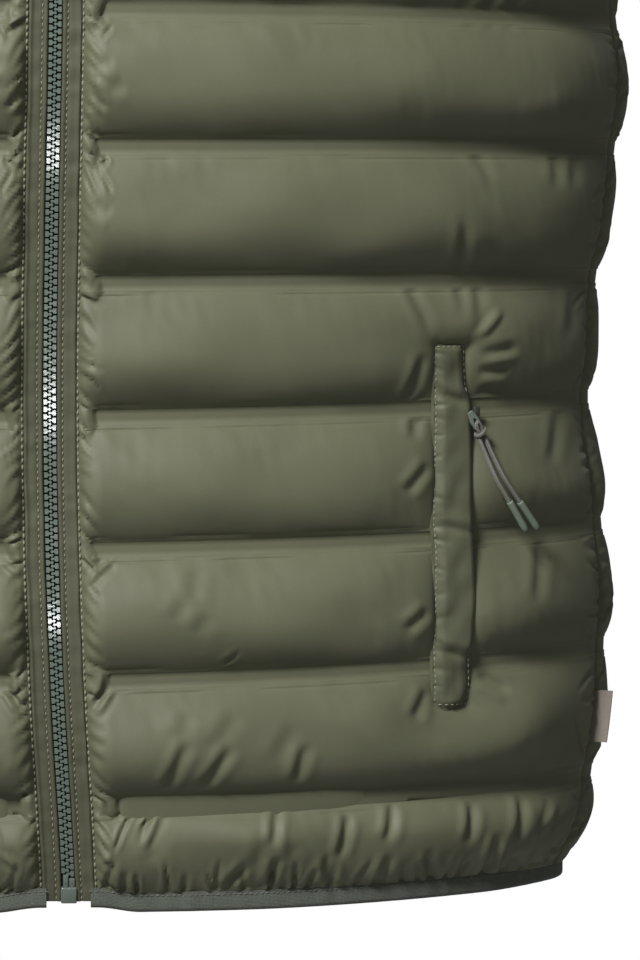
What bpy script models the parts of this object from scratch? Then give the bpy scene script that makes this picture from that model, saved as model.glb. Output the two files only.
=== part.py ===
"""Sleeveless quilted jacket, zip closed, as a hollow garment that keeps its worn form."""
import math
from collections import namedtuple

import bmesh
import bpy
import numpy as np
from mathutils import Matrix, Vector

for old in list(bpy.data.objects):
    bpy.data.objects.remove(old, do_unlink=True)

# Driving dimensions in metres. Heights run up from the hem edge, and the origin is
# between the two neck ends of the shoulder seams.
LENGTH = 0.680
NECK_HALF_WIDTH = 0.085
BACK_NECK_DROP = 0.015
COLLAR_FRONT = 0.080
COLLAR_SIDE = 0.056
COLLAR_BACK = 0.066
COLLAR_LEAN = 0.12
ARMHOLE_BOTTOM = 0.410
SHOULDER_SLOPE = 0.42
SHOULDER_EASE = 0.060
SHOULDER_ROUND = 0.170
SHOULDER_POWER = 2.3
WIDTH_POWER = 2.1
DEPTH_POWER = 0.58

WALL = 0.0025
SEAM_GAP = 0.0003
PUFF = 0.0095
HEM_PUFF = 0.0080
COLLAR_PUFF = 0.0070
BAND = 0.0060
BINDING_WIDTH = 0.0070
BINDING_PROUD = 0.0004
BINDING_GAP = 0.0006
BINDING_SMOOTHING = 2

FRONT_EDGE = 0.0110
PLACKET_INNER = 0.0032
PLACKET_OUTER = 0.0107
PLACKET_THICK = 0.0016
PLACKET_START = 0.0015
CHAIN_HALF_WIDTH = 0.0029
CHAIN_PROUD = 0.0006
CHAIN_START = 0.0135
TAPE_HALF_WIDTH = 0.0104
TAPE_OUTER = -0.0019
TAPE_INNER = -0.0025
ZIP_STEP = 0.020
ZIP_STEP_CLEAR = 0.002
COLLAR_ZIP_STEPS = 4

WELT_LEFT = 0.1610
WELT_RIGHT = 0.1772
WELT_BOTTOM = 0.0830
WELT_TOP = 0.2405
WELT_THICK = 0.0020
WELT_STITCHED_OUT = 0.0020
WELT_LIP_OUT = 0.0046
WELT_ROWS = 9
WELT_COLUMNS = 4
POCKET_FLAT = 0.0012
POCKET_MARGIN = 0.0120

CORD_RADIUS = 0.00105
TIP_RADIUS = 0.00155
TIP_LENGTH = 0.0160
TIP_CLEAR = 0.0006
KNOT_RADIUS = 0.0023
KNOT_SEGMENTS = (10, 7)
STRAND_POINTS = 10
ROUTE_DENSE = 60
PULL_TAB = (0.0042, 0.0076, 0.0016)
PULL_TAB_BEVEL = 0.0005

LABEL_BOTTOM = 0.0615
LABEL_TOP = 0.0845
LABEL_REACH = 0.0100
LABEL_THICK = 0.0010
LABEL_CLEAR = 0.0009
LABEL_ROWS = 4

DENSE = 121
SEAM_HALF = SEAM_GAP / 2
ANGLE_STEP = 0.010
HEIGHT_STEP = 0.004

# The torso at the sewn lines: half width, and depth in front of and behind its own middle.
Section = namedtuple("Section", "height half_width front_depth back_depth middle_y")
SECTIONS = [
    Section(0.000, 0.2220, 0.098, 0.090, 0.018),
    Section(0.026, 0.2340, 0.103, 0.094, 0.018),
    Section(0.060, 0.2400, 0.108, 0.098, 0.018),
    Section(0.110, 0.2440, 0.112, 0.099, 0.018),
    Section(0.160, 0.2425, 0.112, 0.097, 0.018),
    Section(0.200, 0.2370, 0.112, 0.096, 0.018),
    Section(0.260, 0.2390, 0.116, 0.102, 0.018),
    Section(0.320, 0.2475, 0.123, 0.110, 0.018),
    Section(0.360, 0.2505, 0.126, 0.115, 0.018),
    Section(0.410, 0.2450, 0.127, 0.118, 0.018),
    Section(0.500, 0.2370, 0.125, 0.118, 0.012),
    Section(0.600, 0.2350, 0.118, 0.108, 0.003),
    Section(0.680, 0.2350, 0.110, 0.098, 0.000),
]

# Heights of the quilting lines at the centre front, the side and the centre back.
QuiltLine = namedtuple("QuiltLine", "front side back")
QUILT_LINES = [
    QuiltLine(0.0073, 0.0073, 0.0073),
    QuiltLine(0.0426, 0.0476, 0.0476),
    QuiltLine(0.0966, 0.1046, 0.1046),
    QuiltLine(0.1530, 0.1585, 0.1585),
    QuiltLine(0.2094, 0.2150, 0.2150),
    QuiltLine(0.2664, 0.2690, 0.2690),
    QuiltLine(0.3240, 0.3260, 0.3260),
    QuiltLine(0.3817, 0.3810, 0.3830),
    QuiltLine(0.4387, 0.4340, 0.4400),
    QuiltLine(0.4957, 0.4840, 0.4960),
    QuiltLine(0.5527, 0.5310, 0.5480),
    QuiltLine(0.6097, 0.5740, 0.5940),
    QuiltLine(0.6520, 0.6120, 0.6330),
    QuiltLine(0.6800, 0.6410, 0.6650),
]

# Profile of one padded channel, from its lower sewn edge to its upper one.
Puff = namedtuple("Puff", "up share")
CROWN = 0.42
LOW_CHANNEL = [Puff(0.00, 0.0), Puff(0.14, 0.60), Puff(CROWN, 1.0), Puff(0.74, 0.78), Puff(1.0, 0.0)]
HIGH_CHANNEL = [Puff(0.00, 0.0), Puff(0.24, 0.84), Puff(0.66, 0.86), Puff(1.00, 0.0)]
LOW_CHANNELS = 7

# Columns of a front, from the zip to the side, and how full the channel is there.
Column = namedtuple("Column", "across share")
FRONT_COLUMNS = [
    Column(0.000, 0.00),
    Column(0.040, 0.80),
    Column(0.160, 1.00),
    Column(0.300, 1.00),
    Column(0.450, 1.00),
    Column(0.560, 1.00),
    Column(0.592, 0.95),
    Column(0.692, 0.95),
    Column(0.730, 0.95),
    Column(0.810, 0.90),
    Column(0.900, 0.62),
    Column(0.955, 0.42),
    Column(1.000, 0.00),
]
POCKET_COLUMNS = (6, 7)
BACK_NECK_COLUMNS = 4
BACK_SHOULDER_COLUMNS = [Column(0.22, 1.0), Column(0.44, 1.0), Column(0.66, 0.92),
                         Column(0.90, 0.42), Column(1.0, 0.0)]

# Sway of the front edge to the wearer's left, as the closed zip hangs.
Sway = namedtuple("Sway", "height shift")
FRONT_SWAY = [
    Sway(0.000, 0.0050),
    Sway(0.026, 0.0038),
    Sway(0.090, 0.0002),
    Sway(0.149, -0.0020),
    Sway(0.217, -0.0029),
    Sway(0.285, -0.0020),
    Sway(0.387, 0.0000),
    Sway(0.450, 0.0000),
    Sway(0.760, 0.0000),
]

# Channels of the collar, from its seam to its top edge.
COLLAR_ROWS = [Puff(0.00, 0.0), Puff(0.12, 0.75), Puff(0.28, 1.0), Puff(0.45, 0.0),
               Puff(0.54, 0.0), Puff(0.66, 0.80), Puff(0.82, 1.0), Puff(1.00, 0.0)]

# Cord strands of the pocket pull: place across the front, height and stand-off from it.
Route = namedtuple("Route", "across height out")
STRAND_A = [
    Route(0.1786, 0.1982, 0.0084),
    Route(0.1808, 0.1907, 0.0098),
    Route(0.1843, 0.1799, 0.0118),
    Route(0.1891, 0.1711, 0.0122),
]
STRAND_B = [
    Route(0.1810, 0.1988, 0.0084),
    Route(0.1836, 0.1911, 0.0098),
    Route(0.1877, 0.1804, 0.0118),
    Route(0.1935, 0.1708, 0.0122),
]
TIP_END_A = Route(0.1977, 0.1572, 0.0112)
TIP_END_B = Route(0.2033, 0.1572, 0.0112)
TAB_TOP = Route(0.1745, 0.2102, 0.0082)
TAB_END = Route(0.1791, 0.2011, 0.0084)
POCKET_SLIDER_AT = Route(0.1794, 0.2106, 0.0044)
POCKET_SLIDER = (0.0030, 0.0044, 0.0020)
POCKET_SLIDER_BEVEL = 0.0004

Finish = namedtuple("Finish", "colour roughness metallic")
QUILTED_NYLON = Finish((0.125, 0.131, 0.083), 0.42, 0.0)
PLACKET_NYLON = Finish((0.115, 0.121, 0.078), 0.48, 0.0)
ELASTIC_BINDING = Finish((0.085, 0.095, 0.075), 0.80, 0.0)
ZIP_PLASTIC = Finish((0.120, 0.155, 0.135), 0.35, 0.0)
PULL_PLASTIC = Finish((0.130, 0.160, 0.120), 0.40, 0.0)
BRAIDED_CORD = Finish((0.150, 0.165, 0.140), 0.75, 0.0)
LABEL_TAPE = Finish((0.420, 0.395, 0.355), 0.80, 0.0)


def eased(table, name, height):
    """A table's column at a height, on a smooth curve through its rows."""
    knots = np.array([row.height for row in table])
    values = np.array([getattr(row, name) for row in table])
    slopes = np.gradient(values, knots)
    height = np.clip(height, knots[0], knots[-1])
    i = np.clip(np.searchsorted(knots, height) - 1, 0, len(knots) - 2)
    span = knots[i + 1] - knots[i]
    t = (height - knots[i]) / span
    start = values[i] * (1 + 2 * t) * (1 - t) ** 2 + slopes[i] * span * t * (1 - t) ** 2
    end = values[i + 1] * t ** 2 * (3 - 2 * t) - slopes[i + 1] * span * t ** 2 * (1 - t)
    return start + end


def shoulder_height(x):
    """Height of the shoulder line over a distance from the middle."""
    run = np.sqrt(np.square(x) + SHOULDER_EASE ** 2)
    return LENGTH - SHOULDER_SLOPE * (run - math.hypot(NECK_HALF_WIDTH, SHOULDER_EASE))


def torso(height, angle):
    """Point of the left half at a height; the angle runs from the front to the back."""
    x = eased(SECTIONS, "half_width", height) * np.sin(angle) ** (2 / WIDTH_POWER)
    drop = np.clip((shoulder_height(x) - height) / SHOULDER_ROUND, 0, 1)
    rounding = (1 - (1 - drop) ** SHOULDER_POWER) ** (1 / SHOULDER_POWER)
    front = -eased(SECTIONS, "front_depth", height)
    back = eased(SECTIONS, "back_depth", height)
    reach = np.abs(np.cos(angle)) ** (2 * DEPTH_POWER) * rounding
    y = eased(SECTIONS, "middle_y", height) + np.where(angle < math.pi / 2, front, back) * reach
    return np.stack(np.broadcast_arrays(x, y, height - LENGTH), axis=-1)


def angle_at(x, height):
    """Angle of the front point at a distance from the middle."""
    half = eased(SECTIONS, "half_width", height)
    return np.arcsin((x / half) ** (WIDTH_POWER / 2))


def side_angle(height):
    """Angle of the side seam, which lies in the plane y = 0."""
    share = eased(SECTIONS, "middle_y", height) / eased(SECTIONS, "front_depth", height)
    return np.arccos(share ** (0.5 / DEPTH_POWER))


def sway(height):
    return eased(FRONT_SWAY, "shift", height)


# Edges of the armhole as angles round the torso, above the side seam.
Armhole = namedtuple("Armhole", "height front back")
SEAM_TOP = math.degrees(side_angle(ARMHOLE_BOTTOM))
ARMHOLE = [
    Armhole(ARMHOLE_BOTTOM, SEAM_TOP, SEAM_TOP),
    Armhole(0.428, 68.0, 91.0),
    Armhole(0.460, 56.0, 107.0),
    Armhole(0.500, 49.0, 117.0),
    Armhole(0.550, 47.0, 123.0),
    Armhole(0.600, 50.0, 125.0),
    Armhole(0.641, 54.0, 126.0),
]
NECK_PIT = QUILT_LINES[-3].front - BAND / 2


def outer_angle(height, edge):
    """Angle where a panel ends: the side seam, or its own edge of the armhole."""
    if height <= ARMHOLE_BOTTOM:
        return float(side_angle(height))
    return math.radians(float(eased(ARMHOLE, edge, height)))


def inner_edge(height):
    """Distance of a front's inner edge from the zip: straight, then round the neck."""
    if height <= NECK_PIT:
        return FRONT_EDGE
    left = (LENGTH - height) / (LENGTH - NECK_PIT)
    return FRONT_EDGE + (NECK_HALF_WIDTH - FRONT_EDGE) * math.sqrt(1 - left ** 2)


Row = namedtuple("Row", "heights share top inside")


def quilt_rows():
    """Rows of a panel from the hem to the shoulder, with the rows its plain inside keeps."""
    lines = [np.array(line) for line in QUILT_LINES]
    last = len(lines) - 2
    rows = []
    for i in range(len(lines) - 1):
        low = lines[i] + (BAND / 2 if i else 0)
        high = lines[i + 1] - (BAND / 2 if i < last else 0)
        profile = LOW_CHANNEL if i < LOW_CHANNELS else HIGH_CHANNEL
        tall = HEM_PUFF if i == 0 else PUFF
        for step in profile:
            inside = i >= LOW_CHANNELS or step.up == 0 or (i == 0 and step.up == CROWN)
            top = step.up if i == last else 0.0
            rows.append(Row(low + (high - low) * step.up, tall * step.share, top, inside))
    return rows


ROWS = quilt_rows()
INSIDE_ROWS = [k for k, row in enumerate(ROWS) if row.inside or k == len(ROWS) - 1]


def resampled(points, fractions):
    """Points at the given shares of a polyline's length."""
    steps = np.linalg.norm(np.diff(points, axis=0), axis=1)
    length = np.concatenate([[0.0], np.cumsum(steps)])
    at = np.asarray(fractions) * length[-1]
    return np.stack([np.interp(at, length, points[:, k]) for k in range(3)], axis=-1)


def front_row(row):
    """Dense points of a left front's row, from the zip or neckline outwards."""
    s = np.linspace(0, 1, DENSE)
    front, side, _ = row.heights
    level = front + (side - front) * s
    start = float(angle_at(inner_edge(front), front))
    angle = start + (outer_angle(side, "front") - start) * s
    x = eased(SECTIONS, "half_width", level) * np.sin(angle) ** (2 / WIDTH_POWER)
    level = level + (shoulder_height(x) - level) * row.top
    return torso(level, angle)


def back_row(row):
    """Dense points of half a back's row, from the centre back to the left side."""
    s = np.linspace(0, 1, DENSE)
    _, side, back = row.heights
    level = back + (side - back) * s
    angle = math.pi + (outer_angle(side, "back") - math.pi) * s
    x = eased(SECTIONS, "half_width", level) * np.sin(np.clip(angle, 0, math.pi)) ** (2 / WIDTH_POWER)
    neck = LENGTH - BACK_NECK_DROP * (1 - (x / NECK_HALF_WIDTH) ** 2)
    ceiling = np.where(x < NECK_HALF_WIDTH, neck, shoulder_height(x))
    level = level + (ceiling - level) * row.top
    return torso(level, np.clip(angle, 0, math.pi))


def grid_normals(grid, flip=1.0):
    """Unit normals of a grid of points, on the garment's outer side."""
    normal = np.cross(np.gradient(grid, axis=1), np.gradient(grid, axis=0)) * flip
    return normal / np.linalg.norm(normal, axis=-1, keepdims=True)


def garment_collection():
    parts = bpy.data.collections.new("sleeveless_quilted_jacket")
    bpy.context.scene.collection.children.link(parts)
    return parts


PARTS = garment_collection()
CUTTERS = bpy.data.collections.new("joining_shapes")
bpy.context.scene.collection.children.link(CUTTERS)


def dressed(obj, finish):
    """Gives an object its own material and puts it with the parts."""
    material = bpy.data.materials.new(obj.name + "_finish")
    material.use_nodes = True
    shader = material.node_tree.nodes["Principled BSDF"]
    shader.inputs["Base Color"].default_value = (*finish.colour, 1.0)
    shader.inputs["Roughness"].default_value = finish.roughness
    shader.inputs["Metallic"].default_value = finish.metallic
    obj.data.materials.append(material)
    PARTS.objects.link(obj)
    return obj


def shown(name, shape, finish, parent=None):
    """An object from a closed bmesh, which hangs from a parent if it has one."""
    mesh = bpy.data.meshes.new(name)
    shape.to_mesh(mesh)
    shape.free()
    obj = bpy.data.objects.new(name, mesh)
    obj.parent = parent
    return dressed(obj, finish)


def solid(name, points, faces, finish):
    """A closed mesh object with its faces pointing out."""
    shape = bmesh.new()
    corners = [shape.verts.new(p) for p in points]
    for face in faces:
        shape.faces.new([corners[k] for k in face])
    bmesh.ops.recalc_face_normals(shape, faces=shape.faces)
    return shown(name, shape, finish)


def raised_wall(name, outer, inner, kept, finish):
    """A wall between an outer grid and a plain inner grid that keeps only some of its rows."""
    rows, columns = outer.shape[:2]
    points = np.concatenate([outer.reshape(-1, 3), inner[kept].reshape(-1, 3)])

    def out(r, c):
        return r * columns + c

    def ins(k, c):
        return rows * columns + k * columns + c

    faces = []
    for c in range(columns - 1):
        for r in range(rows - 1):
            faces.append((out(r, c), out(r, c + 1), out(r + 1, c + 1), out(r + 1, c)))
        for k in range(len(kept) - 1):
            faces.append((ins(k, c), ins(k + 1, c), ins(k + 1, c + 1), ins(k, c + 1)))
        faces.append((out(0, c), ins(0, c), ins(0, c + 1), out(0, c + 1)))
        top = len(kept) - 1
        faces.append((out(rows - 1, c), out(rows - 1, c + 1), ins(top, c + 1), ins(top, c)))
    for c in (0, columns - 1):
        for k in range(len(kept) - 1):
            for r in range(kept[k], kept[k + 1]):
                faces.append((ins(k, c), out(r, c), out(r + 1, c)))
            faces.append((ins(k, c), out(kept[k + 1], c), ins(k + 1, c)))
    return solid(name, points, faces, finish)


def loft(name, sections, finish, closed=False):
    """A solid through a list of equal-sized closed sections, capped or joined end to end."""
    count, size = len(sections), len(sections[0])
    points = np.concatenate(sections)
    faces = []
    for i in range(count if closed else count - 1):
        j = (i + 1) % count
        for k in range(size):
            m = (k + 1) % size
            faces.append((i * size + k, i * size + m, j * size + m, j * size + k))
    if not closed:
        faces.append(tuple(range(size)))
        faces.append(tuple(range((count - 1) * size, count * size)))
    return solid(name, points, faces, finish)


def front_grid(side):
    """Sewn-line grid of a front, left (+1) or right (-1), and its outer side's normals."""
    fractions = [column.across for column in FRONT_COLUMNS]
    grid = np.stack([resampled(front_row(row), fractions) for row in ROWS])
    fade = (1 - np.array(fractions)) ** 2
    grid[..., 0] = side * grid[..., 0] + sway(grid[..., 2] + LENGTH) * fade
    return grid, grid_normals(grid, side)


def build_front(name, side):
    """A quilted front whose channels lie flat under the pocket welt."""
    grid, normal = front_grid(side)
    share = np.array([column.share for column in FRONT_COLUMNS])
    raised = np.array([row.share for row in ROWS])[:, None] * share
    heights = grid[..., 2] + LENGTH
    pocket = (heights > WELT_BOTTOM - POCKET_MARGIN) & (heights < WELT_TOP + POCKET_MARGIN)
    for c in POCKET_COLUMNS:
        raised[pocket[:, c], c] = POCKET_FLAT
    outer = grid + normal * raised[..., None]
    inner = grid - normal * WALL
    for wall in (outer, inner):
        wall[..., 1] = np.minimum(wall[..., 1], -SEAM_HALF)
    raised_wall(name, outer, inner, INSIDE_ROWS, QUILTED_NYLON)
    return grid, normal


def back_columns():
    """Column shares of half the back, with one column at the neck end of the shoulder seam."""
    top = back_row(ROWS[-1])
    steps = np.linalg.norm(np.diff(top, axis=0), axis=1)
    length = np.concatenate([[0.0], np.cumsum(steps)]) / steps.sum()
    neck = float(np.interp(NECK_HALF_WIDTH, top[:, 0], length))
    columns = [Column(neck * k / BACK_NECK_COLUMNS, 1.0) for k in range(BACK_NECK_COLUMNS + 1)]
    columns += [Column(neck + (1 - neck) * step.across, step.share) for step in BACK_SHOULDER_COLUMNS]
    return columns


def build_back():
    """The quilted back in one piece, from the left side seam to the right one."""
    columns = back_columns()
    half = np.stack([resampled(back_row(row), [c.across for c in columns]) for row in ROWS])
    mirrored = half[:, 1:] * np.array([-1.0, 1.0, 1.0])
    grid = np.concatenate([half[:, ::-1], mirrored], axis=1)
    share = np.array([c.share for c in columns])
    share = np.concatenate([share[::-1], share[1:]])
    normal = grid_normals(grid)
    raised = np.array([row.share for row in ROWS])[:, None] * share
    outer = grid + normal * raised[..., None]
    inner = grid - normal * WALL
    for wall in (outer, inner):
        wall[..., 1] = np.maximum(wall[..., 1], SEAM_HALF)
    raised_wall("back", outer, inner, INSIDE_ROWS, QUILTED_NYLON)
    return grid, normal


def neck_loop(left, right, back):
    """Neckline from the left front edge round the back to the right front edge."""
    first = next(k for k, row in enumerate(ROWS) if row.heights[0] >= NECK_PIT - 1e-6)
    middle = back.shape[1] // 2
    behind = back[-1, middle - BACK_NECK_COLUMNS + 1:middle + BACK_NECK_COLUMNS]
    return np.concatenate([left[first:, 0], behind, right[first:, 0][::-1]])


def build_collar(left, right, back):
    """A padded stand collar on the neckline, open at the zip."""
    loop = neck_loop(left, right, back)
    along = np.gradient(loop, axis=0)
    along[..., 2] = 0
    outward = np.cross(along, np.array([0.0, 0.0, -1.0]))
    outward /= np.linalg.norm(outward, axis=1, keepdims=True)
    middle = loop.mean(axis=0)
    outward *= np.sign(np.sum(outward * (loop - middle), axis=1))[:, None]
    outward[[0, -1]] = (0.0, -1.0, 0.0)
    up = np.array([0.0, 0.0, 1.0]) - COLLAR_LEAN * outward
    up /= np.linalg.norm(up, axis=1, keepdims=True)
    depth = np.where(loop[:, 1] < 0, loop[:, 1] / loop[0, 1], loop[:, 1] / loop[:, 1].max())
    end = np.where(loop[:, 1] < 0, COLLAR_FRONT, COLLAR_BACK)
    tall = COLLAR_SIDE + (end - COLLAR_SIDE) * depth
    share = np.array([step.up for step in COLLAR_ROWS])[:, None]
    grid = loop + up * (SEAM_GAP + share * tall)[..., None]
    raised = np.array([step.share for step in COLLAR_ROWS])[:, None] * np.full(len(loop), COLLAR_PUFF)
    raised[:, [0, -1]] = 0
    outer = grid + outward * raised[..., None]
    inner = grid - outward * WALL
    raised_wall("collar", outer, inner, list(range(len(COLLAR_ROWS))), QUILTED_NYLON)


def binding_section(edge, away, normal):
    """Four corners of a binding beside a panel's edge point."""
    near = edge + away * BINDING_GAP
    far = near + away * BINDING_WIDTH
    return np.array([near + normal * BINDING_PROUD, far + normal * BINDING_PROUD,
                     far - normal * WALL, near - normal * WALL])


def build_hem_binding(left, right, back):
    """Elastic tape round the hem, from one side of the zip to the other."""
    edge = np.concatenate([left[0][0], back[0][0, 1:-1], right[0][0, ::-1]])
    normal = np.concatenate([left[1][0], back[1][0, 1:-1], right[1][0, ::-1]])
    flat = normal * np.array([1.0, 1.0, 0.0])
    flat /= np.linalg.norm(flat, axis=1, keepdims=True)
    down = np.array([0.0, 0.0, -1.0])
    loft("hem_binding", [binding_section(p, down, n) for p, n in zip(edge, flat)], ELASTIC_BINDING)


def build_armhole_binding(name, front, back, back_column):
    """Elastic tape round an armhole, from the side seam over the shoulder and back."""
    first = max(k for k, row in enumerate(ROWS) if row.heights[1] <= ARMHOLE_BOTTOM)
    edge = np.concatenate([front[0][first:, -1], back[0][first + 1:-1, back_column][::-1]])
    normal = np.concatenate([front[1][first:, -1], back[1][first + 1:-1, back_column][::-1]])
    for _ in range(BINDING_SMOOTHING):
        normal = normal + (np.roll(normal, 1, axis=0) + np.roll(normal, -1, axis=0)) / 2
        normal /= np.linalg.norm(normal, axis=1, keepdims=True)
    along = np.roll(edge, -1, axis=0) - np.roll(edge, 1, axis=0)
    away = np.cross(along, normal)
    away /= np.linalg.norm(away, axis=1, keepdims=True)
    middle = edge.mean(axis=0)
    away *= np.sign(np.sum(away * (middle - edge), axis=1))[:, None]
    loft(name, [binding_section(p, a, n) for p, a, n in zip(edge, away, normal)],
         ELASTIC_BINDING, closed=True)


def zip_path():
    """Points and outward normals of the closed front edge, from the hem to the collar top."""
    heights = np.arange(0.0, NECK_PIT, ZIP_STEP)
    line = torso(np.append(heights, NECK_PIT), np.array(0.0))
    up = np.array([0.0, COLLAR_LEAN, 1.0]) / math.hypot(1.0, COLLAR_LEAN)
    rise = np.linspace(0, COLLAR_FRONT, COLLAR_ZIP_STEPS + 1)[1:]
    line = np.concatenate([line, line[-1] + up * rise[:, None]])
    along = np.gradient(line, axis=0)
    along /= np.linalg.norm(along, axis=1, keepdims=True)
    normal = np.stack([np.zeros(len(line)), -along[:, 2], along[:, 1]], axis=-1)
    line[:, 0] = sway(line[:, 2] + LENGTH)
    return line, normal


ZIP_LINE, ZIP_NORMAL = zip_path()


def zip_place(height):
    """Point, outward normal and upward direction on the front edge at a height."""
    levels = ZIP_LINE[:, 2] + LENGTH
    point = np.array([np.interp(height, levels, ZIP_LINE[:, k]) for k in range(3)])
    normal = np.array([np.interp(height, levels, ZIP_NORMAL[:, k]) for k in range(3)])
    normal /= np.linalg.norm(normal)
    return point, normal, np.array([0.0, normal[2], -normal[1]])


def zip_strip(name, corners, start, stop, finish):
    """A strip along the front edge through (across, out) corners, between two heights."""
    levels = ZIP_LINE[:, 2] + LENGTH
    between = [h for h in levels if start + ZIP_STEP_CLEAR < h < stop - ZIP_STEP_CLEAR]
    sections = []
    for height in [start, *between, stop]:
        point, normal, _ = zip_place(height)
        sections.append(np.array([point + normal * out + (across, 0, 0) for across, out in corners]))
    loft(name, sections, finish)


def joined(name, pieces, finish, origin=(0, 0, 0)):
    """One solid from overlapping closed shapes, each given as a bmesh."""
    objects = []
    for k, shape in enumerate(pieces):
        mesh = bpy.data.meshes.new(f"{name}_shape_{k}")
        shape.to_mesh(mesh)
        shape.free()
        obj = bpy.data.objects.new(mesh.name, mesh)
        obj.location = origin
        objects.append(obj)
    body = objects[0]
    body.name = name
    dressed(body, finish)
    for extra in objects[1:]:
        CUTTERS.objects.link(extra)
        extra.hide_render = True
        extra.display_type = "WIRE"
        union = body.modifiers.new("union", "BOOLEAN")
        union.operation = "UNION"
        union.object = extra
    return body


def box_shape(axes, centre, size, bevel):
    """A closed box with bevelled edges as a bmesh, turned to three axes."""
    shape = bmesh.new()
    bmesh.ops.create_cube(shape, size=1.0)
    turn = Matrix([axes[0], axes[1], axes[2]]).transposed().to_4x4()
    place = Matrix.Translation(Vector(centre)) @ turn @ Matrix.Diagonal((*size, 1.0))
    bmesh.ops.transform(shape, matrix=place, verts=shape.verts)
    bmesh.ops.recalc_face_normals(shape, faces=shape.faces)
    bmesh.ops.bevel(shape, geom=shape.edges[:], offset=bevel, segments=2, affect="EDGES", profile=0.5)
    return shape


COLLAR_TOP = ZIP_LINE[-1][2] + LENGTH
SLIDER_BELOW_TOP = 0.0165
SLIDER_BOTTOM = COLLAR_TOP - SLIDER_BELOW_TOP
SLIDER = (0.0088, 0.0050, 0.0120)
SLIDER_BEVEL = 0.0010
SLIDER_CLEAR = 0.0004
BAIL_WIDTH = 0.0020
BAIL_HEIGHT = 0.0032
BAIL_LENGTH = 0.0050
BAIL_THICK = 0.0008
PULL_THICK = 0.0014
PULL_WIDTH = 0.0070
PULL_LENGTH = 0.0300
PULL_HOLE = 0.0046
PULL_ARM = 0.0020
PULL_ROUND = 0.0006
PULL_HOLE_ROUND = 0.0004
CORNER_STEPS = 4
BOX_SIZE = (0.0060, 0.0036, 0.0068)
BOX_BEVEL = 0.0006
BOX_BOTTOM = 0.0010
BOX_SET_BACK = 0.0004
RETAINER_SIZE = (0.0054, 0.0028, 0.0054)
RETAINER_BEVEL = 0.0004
RETAINER_SET_BACK = 0.0002
RETAINER_OVERLAP = 0.0006


def build_zip():
    """Moulded zip down the front: chain on its tape, plackets, bottom box, slider and pull."""
    half = CHAIN_HALF_WIDTH
    tape = TAPE_HALF_WIDTH
    chain = [(-tape, TAPE_INNER), (tape, TAPE_INNER), (tape, TAPE_OUTER), (half, TAPE_OUTER),
             (half, CHAIN_PROUD), (-half, CHAIN_PROUD), (-half, TAPE_OUTER), (-tape, TAPE_OUTER)]
    zip_strip("zip_chain", chain, CHAIN_START, SLIDER_BOTTOM - SLIDER_CLEAR, ZIP_PLASTIC)
    for name, side in (("zip_placket_left", 1), ("zip_placket_right", -1)):
        strip = [(side * PLACKET_INNER, -PLACKET_THICK), (side * PLACKET_OUTER, -PLACKET_THICK),
                 (side * PLACKET_OUTER, 0.0), (side * PLACKET_INNER, 0.0)]
        zip_strip(name, strip, PLACKET_START, SLIDER_BOTTOM - SLIDER_CLEAR, PLACKET_NYLON)
    build_bottom_box()
    build_slider()


def build_bottom_box():
    """Box and retainer that close the foot of the zip."""
    point, normal, up = zip_place(BOX_BOTTOM + BOX_SIZE[2] / 2)
    axes = [(1, 0, 0), tuple(-normal), tuple(up)]
    box = box_shape(axes, (0, 0, 0), BOX_SIZE, BOX_BEVEL)
    lift = (BOX_SIZE[2] + RETAINER_SIZE[2]) / 2 - RETAINER_OVERLAP
    retainer = box_shape(axes, up * lift - normal * RETAINER_SET_BACK, RETAINER_SIZE, RETAINER_BEVEL)
    joined("zip_bottom_box", [box, retainer], ZIP_PLASTIC, tuple(point - normal * BOX_SET_BACK))


def prism_shape(axes, outline, width):
    """A closed bmesh from an (out, along) outline, as wide as given across the zip."""
    across, inward, up = (np.array(axis) for axis in axes)
    shape = bmesh.new()
    ends = []
    for side in (-0.5, 0.5):
        ends.append([shape.verts.new(across * side * width - inward * out + up * along)
                     for out, along in outline])
    count = len(outline)
    for end in ends:
        shape.faces.new(end)
    for k in range(count):
        m = (k + 1) % count
        shape.faces.new([ends[0][k], ends[0][m], ends[1][m], ends[1][k]])
    bmesh.ops.recalc_face_normals(shape, faces=shape.faces)
    return shape


def rounded_outline(curve, half_width, low, high, radius):
    """Adds a closed round-cornered rectangle to a flat curve."""
    corners = [(half_width - radius, high - radius, 0), (radius - half_width, high - radius, 90),
               (radius - half_width, low + radius, 180), (half_width - radius, low + radius, 270)]
    spline = curve.splines.new("POLY")
    spline.points.add(len(corners) * CORNER_STEPS - 1)
    for k, (x, y, turn) in enumerate(corners):
        for step in range(CORNER_STEPS):
            angle = math.radians(turn + 90 * step / (CORNER_STEPS - 1))
            place = (x + radius * math.cos(angle), y + radius * math.sin(angle), 0, 1)
            spline.points[CORNER_STEPS * k + step].co = place
    spline.use_cyclic_u = True


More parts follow.
